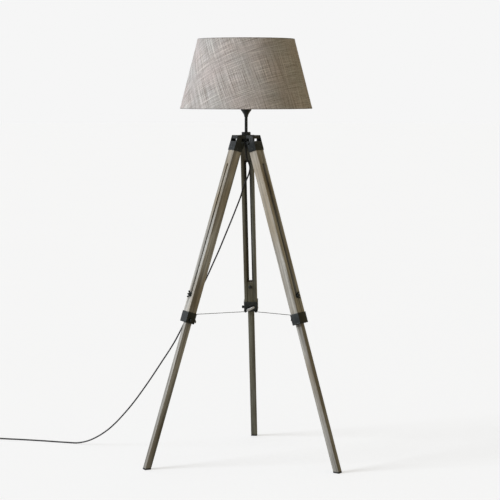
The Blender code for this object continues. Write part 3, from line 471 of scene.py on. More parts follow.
def softBlackFinish(name, color, rough, scale=1500, grain=0.00008):
    finish, look = newFinish(name, Specular_IOR_Level=0.45)
    speckle = look.spots(scale, detail=2)
    cloud = look.spots(60, detail=3)
    tone = look.ramp(cloud, (0.3, color), (0.75, [1.7 * c for c in color]))
    look.feed("Base Color", tone)
    look.feed("Roughness", look.ramp(cloud, (0.3, rough - 0.05), (0.7, rough + 0.08)))
    look.bump(speckle, grain, 0.6)
    return finish


linenLook = {
    "light": (0.79, 0.752, 0.735),
    "middle": (0.570, 0.532, 0.507),
    "dark": (0.345, 0.305, 0.272),
    "paleThread": (0.90, 0.86, 0.80),
    "deepThread": (0.25, 0.205, 0.165),
    "edgeDark": 0.50,
    "lean": math.radians(20),  # of the threads, in the flat cut
    "threadEvery": 0.0011,
}


def linenFinish(name):
    # threads lie straight in the flat cut, so every pattern here reads the cut's own map
    finish, look = newFinish(
        name, Roughness=0.88, Sheen_Weight=0.2, Sheen_Roughness=0.5, Specular_IOR_Level=0.25
    )
    lean = linenLook["lean"]

    def threads(scale, stretch, shift, detail):
        return look.spots(scale, stretch, (*shift, 0), "UV", detail, lean)

    warp = threads(400, (1, 60, 1), (3, 1), 3)
    weft = threads(400, (45, 1, 1), (5, 2), 3)
    slubs = threads(250, (1, 15, 1), (7, 2), 2)
    crossSlubs = threads(250, (13, 1, 1), (1, 9), 2)
    cloud = look.spots(9, source="UV", detail=2)
    waves = []
    for across in (0, math.pi / 2):
        where = look.nodes.new("ShaderNodeTexCoord")
        mapping = look.nodes.new("ShaderNodeMapping")
        mapping.inputs["Rotation"].default_value = (0, 0, across - lean)
        wave = look.nodes.new("ShaderNodeTexWave")
        wave.inputs["Scale"].default_value = 0.314 / linenLook["threadEvery"]
        wave.inputs["Distortion"].default_value = 1.6
        wave.inputs["Detail"].default_value = 1
        look.links.new(where.outputs["UV"], mapping.inputs["Vector"])
        look.links.new(mapping.outputs["Vector"], wave.inputs["Vector"])
        waves.append(wave.outputs["Fac"])
    weave = look.sum(waves[0], waves[1], "MULTIPLY")

    def weighed(*pairs):
        total = 0.0
        for value, weight in pairs:
            total = look.sum(look.sum(value, weight, "MULTIPLY"), total)
        return total

    value = weighed((warp, 0.43), (weft, 0.31), (slubs, 0.15), (crossSlubs, 0.11))
    tone = look.ramp(
        value, (0.40, linenLook["dark"]), (0.50, linenLook["middle"]), (0.60, linenLook["light"])
    )
    for scale, stretch, shift in ((620, (1, 95, 1), (2, 6)), (620, (70, 1, 1), (8, 4))):
        # single threads that are paler or darker than the rest
        single = threads(scale, stretch, shift, 1)
        pale = look.sum(look.ramp(single, (0.60, 0), (0.65, 1)), 0.75, "MULTIPLY")
        tone = look.mix(pale, tone, linenLook["paleThread"])
        deep = look.sum(look.ramp(single, (0.345, 1), (0.395, 0)), 0.70, "MULTIPLY")
        tone = look.mix(deep, tone, linenLook["deepThread"])
    tone = look.mix(1.0, tone, look.ramp(weave, (0.0, 0.80), (0.7, 1.08)), "MULTIPLY")
    tint = look.ramp(cloud, (0.35, (1.03, 0.99, 0.97)), (0.65, (0.97, 1.0, 0.99)))
    tone = look.mix(1.0, tone, tint, "MULTIPLY")
    # the turned edges at the top and the bottom are darker
    where = look.nodes.new("ShaderNodeTexCoord")
    place = look.nodes.new("ShaderNodeSeparateXYZ")
    look.links.new(where.outputs["Object"], place.inputs["Vector"])
    low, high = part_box("shade_fabric")
    fromBottom = look.sum(place.outputs["Z"], -low.z, "ADD")
    fromTop = look.sum(high.z, place.outputs["Z"], "SUBTRACT")
    nearest = look.sum(look.sum(fromBottom, fromTop, "MINIMUM"), 100.0, "MULTIPLY")
    edge = look.ramp(nearest, (0.17, linenLook["edgeDark"]), (0.27, 1.0))
    tone = look.mix(1.0, tone, edge, "MULTIPLY")
    look.feed("Base Color", tone)
    look.bump(weighed((weave, 1.0), (value, 1.8)), 0.0008, 0.7)
    return finish


def filmFinish(name):
    finish, look = newFinish(name, Roughness=0.55)
    pebble = look.spots(1400, detail=2)
    cloud = look.spots(14, detail=3)
    look.feed("Base Color", look.ramp(cloud, (0.3, (0.74, 0.72, 0.67)), (0.7, (0.82, 0.81, 0.77))))
    look.bump(pebble, 0.0002, 0.5)
    return finish


def opalFinish(name):
    finish, look = newFinish(name, Coat_Weight=0.6, Coat_Roughness=0.08, Subsurface_Weight=0.25)
    cloud = look.spots(30, detail=2)
    look.feed("Base Color", look.ramp(cloud, (0.3, (0.84, 0.84, 0.80)), (0.7, (0.90, 0.90, 0.87))))
    look.feed("Roughness", look.ramp(cloud, (0.3, 0.30), (0.7, 0.38)))
    return finish


finishes = {
    "black": blackFinish("blackenedSteel"),
    "cast": blackFinish("blackenedCasting", 0.46, 0.0003, 0.30),
    "holder": softBlackFinish("holderBlack", (0.016, 0.016, 0.017), 0.34, 900, 0.00004),
    "steel": steelFinish("dullSteel", (0.76, 0.76, 0.745), 0.33),
    "chain": steelFinish("dulledChain", (0.085, 0.087, 0.085), 0.42),
    "nickel": steelFinish("nickelPlate", (0.60, 0.585, 0.55), 0.24),
    "cord": softBlackFinish("cordBlack", (0.013, 0.013, 0.0135), 0.46, 1800, 0.00006),
    "rubber": softBlackFinish("padRubber", (0.020, 0.020, 0.020), 0.78, 900, 0.00015),
    "linen": linenFinish("taupeLinen"),
    "film": filmFinish("whiteFilm"),
    "opal": opalFinish("opalBulb"),
}
print("finishes ready")

studio = {
    "lens": 114.6,
    "azimuth": math.radians(4.6),
    "distance": 5.80,
    "height": 1.362,
    "aimHeight": 0.777,
    "aimRight": 0.014,
    "sunFrom": (-0.90, -0.36, 0.52),
    "sunStrength": 2.5,
    "sunColor": (0.985, 1.0, 1.06),
    "sunSoftness": math.radians(24),
    "skyLeft": (0.52, 0.53, 0.56),
    "skyRight": (0.315, 0.258, 0.152),
    "backdrop": 0.921,
    "floorColor": (0.488, 0.50, 0.506),
    "floorLift": 0.534,
    "floorSize": 60,
}


def addCamera():
    turn = studio["azimuth"]
    right = Vector((math.cos(turn), math.sin(turn), 0))
    away = Vector((math.sin(turn), -math.cos(turn), 0)) * studio["distance"]
    camera = bpy.data.objects.new("camera", bpy.data.cameras.new("camera"))
    camera.data.lens = studio["lens"]
    camera.data.clip_end = 200
    camera.location = Vector((0, axisY, studio["height"])) + away
    aim = Vector((0, axisY, studio["aimHeight"])) + right * studio["aimRight"]
    camera.rotation_euler = (aim - camera.location).to_track_quat("-Z", "Y").to_euler()
    intoScene(camera)
    bpy.context.scene.camera = camera


def addFloor():
    size = studio["floorSize"]
    shape = bmesh.new()
    bmesh.ops.create_circle(shape, cap_ends=True, radius=size, segments=96)
    floor = bpy.data.objects.new("floor", meshFrom(shape, "floor"))
    floor.location.z = -0.0002
    finish, look = newFinish("paleFloor", Roughness=0.9, Specular_IOR_Level=0.1)
    cloud = look.spots(0.7, detail=2)
    color = studio["floorColor"]
    look.feed("Base Color", look.ramp(cloud, (0.3, [0.99 * c for c in color]), (0.7, color)))
    look.shader.inputs["Emission Color"].default_value = (1, 1, 1, 1)
    look.shader.inputs["Emission Strength"].default_value = studio["floorLift"]
    floor.data.materials.append(finish)
    floor.visible_diffuse = False
    floor.visible_glossy = False
    intoScene(floor)


def addLight():
    sun = bpy.data.objects.new("keyLight", bpy.data.lights.new("keyLight", "SUN"))
    sun.data.energy = studio["sunStrength"]
    sun.data.angle = studio["sunSoftness"]
    sun.data.color = studio["sunColor"]
    sun.rotation_euler = (-Vector(studio["sunFrom"])).to_track_quat("-Z", "Y").to_euler()
    intoScene(sun)
    world = bpy.data.worlds.new("studio")
    bpy.context.scene.world = world
    world.use_nodes = True
    look = nodeKit(world.node_tree)
    look.nodes.clear()
    where = look.nodes.new("ShaderNodeTexCoord")
    parts = look.nodes.new("ShaderNodeSeparateXYZ")
    look.links.new(where.outputs["Generated"], parts.inputs["Vector"])
    across = look.sum(look.sum(parts.outputs["X"], 0.5, "MULTIPLY"), 0.5)
    sky = look.ramp(across, (0.15, studio["skyLeft"]), (0.85, studio["skyRight"]))
    rays = look.nodes.new("ShaderNodeLightPath")
    shown = look.mix(rays.outputs["Is Camera Ray"], sky, (studio["backdrop"],) * 3)
    background = look.nodes.new("ShaderNodeBackground")
    output = look.nodes.new("ShaderNodeOutputWorld")
    look.links.new(shown, background.inputs["Color"])
    look.links.new(background.outputs["Background"], output.inputs["Surface"])
    bpy.context.scene.view_settings.view_transform = "Standard"


addCamera()
addFloor()
addLight()
print("camera, floor and light in place")

cordLay = {
    "radius": 0.00275,
    "step": 0.006,
    "turns": 3.5,
    "perTurn": 48,
    "strandOffset": 0.00389,  # of a strand from the middle of the coil's section
    "firstPhase": math.radians(-22.5),
    "length": 2.52,
}

# from the strain relief to the switch, about the lamp's axis
cordRoute = (
    (0.000, 0.000, 1.132),
    (0.002, 0.001, 1.116),
    (0.008, 0.003, 1.099),
    (0.013, 0.005, 1.083),
    (0.012, 0.006, 1.066),
    (0.007, 0.006, 1.049),
    (-0.001, 0.006, 1.030),
    (-0.012, 0.008, 1.002),
    (-0.022, 0.013, 0.970),
    (-0.038, 0.022, 0.930),
    (-0.056, 0.032, 0.886),
    (-0.080, 0.046, 0.830),
    (-0.103, 0.059, 0.776),
    (-0.126, 0.071, 0.726),
    (-0.152, 0.085, 0.670),
    (-0.175, 0.095, 0.624),
    (-0.225, 0.110, 0.524),
    (-0.279, 0.118, 0.418),
    (-0.335, 0.121, 0.330),
    (-0.393, 0.124, 0.243),
    (-0.457, 0.132, 0.157),
    (-0.531, 0.148, 0.077),
    (-0.600, 0.169, 0.028),
    (-0.660, 0.187, 0.006),
    (-0.722, 0.202, 0.003),
    (-0.812, 0.221, 0.003),
    (-0.904, 0.237, 0.003),
    (-0.965, 0.241, 0.004),
    (-1.003, 0.241, 0.006),
)


def smoothLine(route, step):
    knots = [Vector(p) for p in route]
    knots = [2 * knots[0] - knots[1], *knots, 2 * knots[-1] - knots[-2]]
    line = []
    for a, b, c, d in zip(knots, knots[1:], knots[2:], knots[3:]):
        count = max(2, round((c - b).length / step))
        for k in range(count):
            t = k / count
            bend = (2 * a - 5 * b + 4 * c - d) * t**2 + (3 * b - a - 3 * c + d) * t**3
            line.append((2 * b + (c - a) * t + bend) / 2)
    line.append(knots[-2])
    return line


def cordLine():
    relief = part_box("strain_relief")[0]
    start = Vector((0, axisY, relief.z - slack))
    line = smoothLine([start] + [Vector((x, y + axisY, z)) for x, y, z in cordRoute], cordLay["step"])
    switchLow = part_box("cord_switch")[0]
    low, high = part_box("cord_coil")
    middle = (low + high) / 2
    radius = ((high.x - low.x) / 2 + 0.0245) / 2
    level = line[-1].z
    line.append(Vector((switchLow.x, line[-1].y, level)))
    count = round(cordLay["turns"] * cordLay["perTurn"])
    coil = []
    for i in range(count + 1):
        turned = i / cordLay["perTurn"]
        angle = math.radians(-90) - 2 * math.pi * turned
        phase = cordLay["firstPhase"] - math.pi / 2 * turned
        r = radius + cordLay["strandOffset"] * math.cos(phase)
        z = middle.z + cordLay["strandOffset"] * math.sin(phase)
        coil.append(Vector((middle.x + r * math.cos(angle), middle.y + r * math.sin(angle), z)))
    plugLow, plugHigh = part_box("plug_body")
    tail = Vector((plugLow.x + 0.004, (plugLow.y + plugHigh.y) / 2, plugHigh.z / 2))
    into = smoothLine([line[-1] + Vector((0.004, 0, 0)), line[-1], coil[0], coil[2]], 0.003)
    out = smoothLine([coil[-3], coil[-1], tail - Vector((0.004, 0, 0)), tail], 0.003)
    inner = [p for p in into if coil[0].x + 0.001 < p.x < line[-1].x - 0.001]
    outer = [p for p in out if coil[-1].x + 0.001 < p.x < tail.x - 0.001]
    return [*line, *inner, *coil, *outer, tail]


def addCord():
    line = cordLine()
    curve = roundCurve("powerCord", line, cordLay["radius"], 4)
    curve.splines[0].use_smooth = True
    cord = bpy.data.objects.new("powerCord", curve)
    curve.materials.append(finishes["cord"])
    intoScene(cord)
    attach(cord, "head")
    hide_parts("cord_tube", "cord_coil")
    length = sum((b - a).length for a, b in zip(line, line[1:]))
    print("cord laid, %.3f m" % length)
    return cord, line[0]


relief = {"topRadius": 0.0075, "endRadius": 0.0040, "flange": 0.003, "grooves": 6, "groove": 0.0007}


def addRelief():
    low, high = boxIn(lampAxis, "strain_relief")
    bore = cordLay["radius"] + 0.0001
    neck = 0.76 * relief["topRadius"]
    outer = [(relief["topRadius"] - 0.0006, high.z), (relief["topRadius"], high.z - 0.0006)]
    outer += [(relief["topRadius"], high.z - relief["flange"]), (neck, high.z - relief["flange"] - 0.0004)]
    top = high.z - relief["flange"] - 0.002
    steps = 6 * relief["grooves"]
    for i in range(steps + 1):
        share = i / steps
        wave = relief["groove"] * (0.5 - 0.5 * math.cos(2 * math.pi * relief["grooves"] * share))
        radius = neck + (relief["endRadius"] - neck) * share - wave * (1 - 0.4 * share)
        outer.append((max(radius, bore + 0.0004), top + (low.z + 0.001 - top) * share))
    outer += [(bore + 0.0005, low.z), (bore, low.z), (bore, high.z)]
    mesh = lathe(outer, 40)
    return settle("strain_relief", mesh, "cord", "head", lampAxis, 50)


switch = {
    "halfLength": 0.032,
    "halfWidth": 0.0135,
    "edge": 0.0036,
    "underEdge": 0.0032,
    "seam": 0.0006,
    "pocket": (0.0108, 0.0059, 0.011),  # half its length, half its width, its depth
}


def addSwitch():
    low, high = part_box("cord_switch")
    middle = (low + high) / 2
    level = cordRoute[-1][2]
    half, wide = switch["halfLength"], switch["halfWidth"]
    pocketLong, pocketWide, pocketDeep = switch["pocket"]
    place = moved(middle.x, middle.y, 0)
    top = block((-half, -wide, 0.0088), (half, wide, high.z), switch["edge"], 5)
    bottom = block((-half, -wide, 0.0), (half, wide, 0.0094), switch["underEdge"], 5)
    inset = switch["seam"]
    waist = block((inset - half, inset - wide, 0.004), (half - inset, wide - inset, 0.0130), inset, 2)
    ends = []
    for sign in (-1, 1):
        profile = [(0, half + 0.0096), (0.0034, half + 0.0096), (0.0038, half + 0.0090)]
        for i in range(4):
            at = half + 0.0085 - 0.0025 * i
            profile += [
                (0.0039 + 0.0004 * i, at), (0.0034 + 0.0004 * i, at - 0.0006),
                (0.0034 + 0.0004 * i, at - 0.0014),
            ]
        profile += [(0.0056, half - 0.003), (0, half - 0.003)]
        turn = moved(0, 0, level) @ Matrix.Scale(sign, 4, (1, 0, 0)) @ alongX
        ends.append(lathe(profile, 28, closed=False, place=turn))
    pocket = block(
        (-pocketLong, -pocketWide, high.z - pocketDeep), (pocketLong, pocketWide, high.z + 0.01), 0
    )
    top = carved(top, [pocket], 0.0003, 1)
    mesh = together(top, bottom, waist, *ends)
    return settle("cord_switch", mesh, "cord", "head", place, 40, name="switchCase")


rocker = {"half": 0.010, "width": 0.011, "markAt": 0.0068, "tilt": math.radians(7)}


def addRocker():
    pivot = Vector(joints["switch_rock"]["pos_m"])
    half = rocker["half"]
    outline = [(-half, 0.0025), (-half * 0.92, -0.0028), (half * 0.92, -0.0028), (half, 0.0025)]
    dip = [
        (0.75 * half, 0.0019), (0.4 * half, 0.0011), (0, 0.0008), (-0.4 * half, 0.0011),
        (-0.75 * half, 0.0019),
    ]
    key = sheetPlate(outline + dip, rocker["width"], 0.0004, place=sideOn)
    dots = []
    for sign in (-1, 1):  # a raised mark for each foot of the key
        spot = moved(sign * rocker["markAt"], 0, 0.0017) @ Matrix.Rotation(-sign * 0.18, 4, "Y")
        dots.append(lathe([(0, 0.0005), (0.0012, 0.0004), (0.0016, 0)], 24, closed=False, place=spot))
    place = Matrix.Translation(pivot) @ Matrix.Rotation(rocker["tilt"], 4, "Y")
    return settle(
        "switch_rocker", together(key, *dots), "holder", "rocker", place, name="switchKey",
    )


def addTie():
    low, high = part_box("coil_tie")
    wall = 0.0010
    middle = (low + high) / 2
    half = (high.x - low.x) / 2
    rise = (high.z - low.z) / 2
    outer = eased([(-half, -rise), (half, -rise), (half, rise), (-half, rise)], 0.0035, 5)
    w, h = half - wall, rise - wall
    inner = eased([(-w, -h), (w, -h), (w, h), (-w, h)], 0.0026, 5)
    band = sheetPlate(outer, high.y - low.y, 0.0003, [inner], sideOn)
    tab = block((-half + 0.002, -0.006, rise - 0.0002), (half + 0.002, 0.006, rise + 0.0008), 0.0003, 2)
    place = Matrix.Translation(middle)
    return settle("coil_tie", together(band, tab), "rubber", "head", place)


def addPlug():
    low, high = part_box("plug_body")
    line = (low.y + high.y) / 2
    start = low.x + 0.012
    half = (high.y - low.y) / 2
    grip = 0.0013
    outline = [(start, line - 0.4 * half), (start + 0.0144, line - half), (high.x - 0.009, line - half)]
    outline += [
        (high.x - 0.0085, line - half + grip), (high.x - 0.0045, line - half + grip),
        (high.x - 0.004, line - half),
    ]
    outline += [(high.x, line - half)]
    outline += [(x, 2 * line - y) for x, y in reversed(outline)]
    radii = [0.003, 0.008, 0.0008, 0.0006, 0.0006, 0.0008, 0.002]
    body = sheetPlate(eased(outline, radii + radii[::-1], 5), high.z, 0.0028, place=moved(0, 0, high.z / 2))
    profile = [(0, 0.016), (0.0050, 0.016)]
    for i in range(5):
        at = 0.0135 - 0.0026 * i
        profile += [
            (0.0048 - 0.0003 * i, at), (0.0041 - 0.0003 * i, at - 0.0006),
            (0.0041 - 0.0003 * i, at - 0.0014),
        ]
    profile += [(0.0033, 0.0002), (0.0030, 0), (0, 0)]
    tail = lathe(profile, 28, closed=False, place=moved(low.x, line, high.z / 2) @ alongX)
    plug = settle("plug_body", together(body, tail), "cord", "head")
    pins = []
    for node in ("plug_pin_near", "plug_pin_far"):
        a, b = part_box(node)
        radius = (b.z - a.z) / 2
        length = b.x - a.x
        place = moved(a.x, (a.y + b.y) / 2, (a.z + b.z) / 2) @ alongX
        nose = [
            (0, length), (0.5 * radius, length - 0.0001), (0.85 * radius, length - 0.0007),
            (radius, length - 0.0018),
        ]
        bare = lathe(
            [*nose, (radius, 0.009), (0.92 * radius, 0.009), (0.92 * radius, 0), (0, 0)], 28, closed=False
        )
        pins.append(settle(node, bare, "nickel", "head", place))
    return [plug, *pins]


cord, cordExit = addCord()
onCord = [addRelief(), addSwitch(), addRocker(), addTie(), *addPlug()]
print("pieces on the cord done")

# The pieces about the lamp's axis

shade = {
    "bottom": 0.240,
    "top": 0.175,
    "fabric": 0.0010,
    "liner": 0.0006,
    "wire": 0.002,
    "wireInset": 0.0035,
    "hem": 0.009,
    "hemProud": 0.0006,
    "seam": 0.011,  # width of the back seam
    "around": 240,
    "up": 44,
    "armAzimuths": (30, 150, 270),
    "armRadius": 0.0016,
}

fabricLow, fabricHigh = boxIn(lampAxis, "shade_fabric")
shadeHeight = fabricHigh.z - fabricLow.z
shadeSlope = math.atan((shade["bottom"] - shade["top"]) / shadeHeight)


def shadeRadius(height, inset=0.0):
    share = (height - fabricLow.z) / shadeHeight
    return shade["bottom"] + (shade["top"] - shade["bottom"]) * share - inset / math.cos(shadeSlope)


def addShadeFabric():
    # the cut is a flat arc, rolled into the cone and lapped at the back; its map is the flat cut in metres
    apex = fabricLow.z + shade["bottom"] / math.tan(shadeSlope)
    around, up = shade["around"], shade["up"]
    shape = bmesh.new()
    flat = shape.loops.layers.uv.new("cut")
    skins = []
    levels = []
    for k in range(up + 1):
        t = k / up
        levels.append(fabricLow.z + shadeHeight * (t - 0.03 * math.sin(2 * math.pi * t)))

    def place(i, k, inner):
        z = levels[k]
        inset = shade["fabric"] if inner else 0.0
        edge = min(z - fabricLow.z, fabricHigh.z - z)
        if not inner:
            hem = shade["hemProud"] * min(1, max(0, (shade["hem"] - edge) / 0.0015))
            turnIn = 0.0005 if edge < 0.0004 else 0
            fromSeam = min(i, around - i) * 2 * math.pi / around * shadeRadius(z)
            lap = 0.0005 * min(1, max(0, (shade["seam"] - fromSeam) / 0.002)) if i < around / 2 else 0
            inset -= hem + lap - turnIn
        angle = math.pi / 2 + 2 * math.pi * i / around
        r = shadeRadius(z, inset)
        return (r * math.cos(angle), r * math.sin(angle), z)

    for inner in (False, True):
        rows = [[shape.verts.new(place(i, k, inner)) for i in range(around)] for k in range(up + 1)]
        skins.append(rows)

    def spread(i, k):
        slant = (apex - levels[k]) / math.cos(shadeSlope)
        angle = (i / around - 0.5) * 2 * math.pi * math.sin(shadeSlope)
        return (slant * math.sin(angle), 0.98 - slant * math.cos(angle))

    def face(corners, marks):
        made = shape.faces.new(corners)
        for loop, mark in zip(made.loops, marks):
            loop[flat].uv = spread(*mark)

    for rows in skins:
        for k in range(up):
            for i in range(around):
                j = (i + 1) % around
                corners = [rows[k][i], rows[k][j], rows[k + 1][j], rows[k + 1][i]]
                face(corners, [(i, k), (i + 1, k), (i + 1, k + 1), (i, k + 1)])
    for k in (0, up):
        for i in range(around):
            j = (i + 1) % around
            corners = [skins[0][k][i], skins[0][k][j], skins[1][k][j], skins[1][k][i]]
            face(corners, [(i, k), (i + 1, k), (i + 1, k), (i, k)])
    mesh = meshFrom(shape, "shadeFabric")
    fabric = settle("shade_fabric", mesh, "linen", "head", lampAxis, 60)


def addShadeLiner():
    start = shade["fabric"] + slack
    low, high = boxIn(lampAxis, "shade_liner")
    count = 24
    heights = [low.z + (high.z - low.z) * i / count for i in range(count + 1)]
    outer = [(shadeRadius(z, start), z) for z in heights]
    inner = [(shadeRadius(z, start + shade["liner"]), z) for z in reversed(heights)]
    settle("shade_liner", lathe(outer + inner, 240), "film", "head", lampAxis)


def wireRing(height, radius):
    points = []
    for i in range(192):
        angle = 2 * math.pi * i / 192
        points.append((radius * math.cos(angle), radius * math.sin(angle), height))
    return wire(points, shade["wire"], closed=True, fineness=3)


def addShadeFrame():
    inset = shade["fabric"] + shade["liner"] + 2 * slack + shade["wire"]
    level = fabricLow.z + shade["wireInset"]
    topLevel = fabricHigh.z - shade["wireInset"]
    top = wireRing(topLevel, shadeRadius(topLevel, inset))
    settle("shade_top_wire", top, "black", "head", lampAxis)
    reach = shadeRadius(level, inset)
    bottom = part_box("shade_ring_nut")[0].z - slack - 0.002
    fitter = [(0.0198, bottom + 0.0003), (0.0201, bottom), (0.0277, bottom), (0.0280, bottom + 0.0003)]
    fitter += [
        (0.0280, bottom + 0.0017), (0.0277, bottom + 0.002), (0.0201, bottom + 0.002),
        (0.0198, bottom + 0.0017),
    ]
    middle = bottom + 0.002 - 1.1 * shade["armRadius"]
    pieces = [lathe(fitter, 72), wireRing(level, reach)]
    for azimuth in shade["armAzimuths"]:
        route = [(0.0250, 0, middle), (0.0380, 0, middle), (0.0530, 0, middle - 0.002)]
        route += [(reach - 0.025, 0, level + 0.001), (reach, 0, level)]
        turn = Matrix.Rotation(math.radians(azimuth), 4, "Z")
        pieces.append(wire(smoothLine(route, 0.004), shade["armRadius"], fineness=3, place=turn))
        bead = [
            (0, 0.0030), (0.0022, 0.0026), (0.0030, 0.0012), (0.0030, -0.0012), (0.0022, -0.0026),
            (0, -0.0030),
        ]
        pieces.append(lathe(bead, 20, closed=False, place=turn @ moved(reach - 0.0005, 0, level) @ alongX))
    settle("shade_frame", together(*pieces), "black", "head", lampAxis)


headTurned = {
    "holderRadius": 0.0195,
    "flangeRadius": 0.0235,
    "funnelNeck": 0.0072,
    "tubeBore": 0.0035,
    "gripFlutes": 36,
    "gripDepth": 0.0007,
    "threadPitch": 0.0036,
    "threadDepth": 0.0011,
    "bulbRadius": 0.030,
    "neckRadius": 0.0145,
    "neckLength": 0.015,
}


def addHolder():
    low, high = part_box("holder_body")
    nutLow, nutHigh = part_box("shade_ring_nut")
    r, flange = headTurned["holderRadius"], headTurned["flangeRadius"]
    flangeTop = nutLow.z - 0.0026
    base = low.z
    outer = [(r, high.z), (r, nutHigh.z + 0.0008)]
    z = nutHigh.z + 0.0004
    while z > nutLow.z + 0.0008:  # the thread that the ring nut runs on, cut into the wall
        outer += [(r, z), (r - 0.0004, z - 0.0005), (r, z - 0.0010)]
        z -= 0.0015
    outer += [
        (r, flangeTop), (flange, flangeTop), (flange, flangeTop - 0.003), (r, flangeTop - 0.003), (r, base)
    ]
    outer += [(0.0035, base), (0.0035, base + 0.003), (0.0140, base + 0.003), (0.0140, high.z)]
    mesh = lathe(outer, 72)
    contact = lathe([(0, 0.0014), (0.0028, 0.0012), (0.0034, 0.0006), (0.0036, 0), (0, 0)], 24, closed=False,
                    place=moved(0.0080, 0, base + 0.003))
    settle("holder_body", mesh, "holder", "head", lampAxis, 30)
    settle(None, contact, "nickel", "head", lampAxis, name="holderContact")
    flutes, depth = headTurned["gripFlutes"], headTurned["gripDepth"]

    def grip(angle, radius, height):
        if radius < 0.0255:
            return 0
        return depth * (0.5 + 0.5 * math.cos(flutes * angle))

    ring = [
        (0.0198, nutHigh.z - 0.0006), (0.0204, nutHigh.z), (0.0248, nutHigh.z), (0.0258, nutHigh.z - 0.0008)
    ]
    ring += [
        (0.0265, nutHigh.z - 0.0020), (0.0265, nutLow.z + 0.0012), (0.0258, nutLow.z), (0.0204, nutLow.z)
    ]
    ring += [(0.0198, nutLow.z + 0.0006)]
    mesh = lathe(ring, 8 * flutes, relief=grip)
    settle("shade_ring_nut", mesh, "holder", "ring_nut", lampAxis, 50)


def addFunnel():
    low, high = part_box("holder_funnel")
    neck, rim, bore = headTurned["funnelNeck"], headTurned["holderRadius"], headTurned["tubeBore"]
    outer = [(rim - 0.0005, high.z), (rim, high.z - 0.0005), (rim, high.z - 0.0015)]
    top = high.z - 0.0015
    fall = high.z - low.z - 0.0055
    for i in range(1, 25):
        t = i / 24
        outer.append((neck + (rim - neck) * (1 - t) ** 1.35, top - t * fall))
    outer += [(neck, low.z + 0.0006), (neck - 0.0006, low.z), (0.0058, low.z), (0.0058, low.z + 0.0123)]
    outer += [(bore, low.z + 0.0123), (bore, high.z)]
    settle("holder_funnel", lathe(outer, 96), "black", "head", lampAxis, 32)
    low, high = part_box("stem_tube")
    tube = [(0.0055, low.z), (0.0055, high.z), (bore, high.z), (bore, low.z)]
    settle("stem_tube", lathe(eased(tube, 0.0003, 3), 48), "black", "head", lampAxis)
    low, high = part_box("inner_flex")
    flex = [
        (0, low.z), (0.0027, low.z), (0.00275, low.z + 0.0002), (0.00275, high.z - 0.0002),
        (0.0027, high.z), (0, high.z),
    ]
    settle("inner_flex", lathe(flex, 32, closed=False), "cord", "head", lampAxis)


def addBulb():
    low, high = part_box("bulb_cap")
    pitch, depth = headTurned["threadPitch"], headTurned["threadDepth"]
    base, top = low.z + 0.0062, high.z - 0.004

    def thread(angle, radius, height):
        if radius < 0.0128:
            return 0
        fade = min(1, max(0, (height - base) / 0.002), max(0, (top - height) / 0.002))
        return depth * fade * (0.5 + 0.5 * math.cos(2 * math.pi * (height - base) / pitch - angle))

    steps = 90
    profile = [(0, high.z), (0.0128, high.z), (0.0132, high.z - 0.0005)]
    profile += [(0.0132, top + (base - top) * i / steps) for i in range(steps + 1)]
    profile += [(0.0131, base - 0.0006), (0.0108, base - 0.0030), (0.0085, base - 0.0034)]
    shell = lathe(profile + [(0, base - 0.0034)], 60, closed=False, relief=thread)
    tip = [
        (0, low.z), (0.0038, low.z + 0.0001), (0.0046, low.z + 0.0010), (0.0080, base - 0.0036),
        (0, base - 0.0036),
    ]
    mesh = together(shell, lathe(tip, 40, closed=False))
    settle("bulb_cap", mesh, "nickel", "bulb", lampAxis, 50)
    low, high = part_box("bulb_glass")
    radius, neck = headTurned["bulbRadius"], headTurned["neckRadius"]
    middle = high.z - radius
    profile = [(0, high.z)]
    for i in range(1, 33):
        angle = math.radians(90 - 140 * i / 32)
        profile.append((radius * math.cos(angle), middle + radius * math.sin(angle)))
    # a hollow shoulder runs from the ball into the neck
    last = Vector((profile[-1][0], profile[-1][1]))
    foot = Vector((neck, low.z + headTurned["neckLength"]))
    pull = Vector((neck, foot.y + 0.006))
    for i in range(1, 13):
        t = i / 12
        at = (1 - t) ** 2 * last + 2 * t * (1 - t) * pull + t**2 * foot
        profile.append((at.x, at.y))
    profile += [(neck, low.z + 0.0012), (neck - 0.0008, low.z + 0.0002), (neck - 0.002, low.z), (0, low.z)]
    settle("bulb_glass", lathe(profile, 96, closed=False), "opal", "bulb", lampAxis, 60)


hub = {
    "boss": 0.0175,
    "foot": 1.176,  # height of the boss's lower end
    "armThickness": 0.012,
    "armWidth": 0.0468,
    "lugHalf": 0.007,
    "lugRadius": 0.0065,
    "sleeve": 0.0165,
    "flats": 0.0152,
    "azimuths": (90, 210, 330),
}


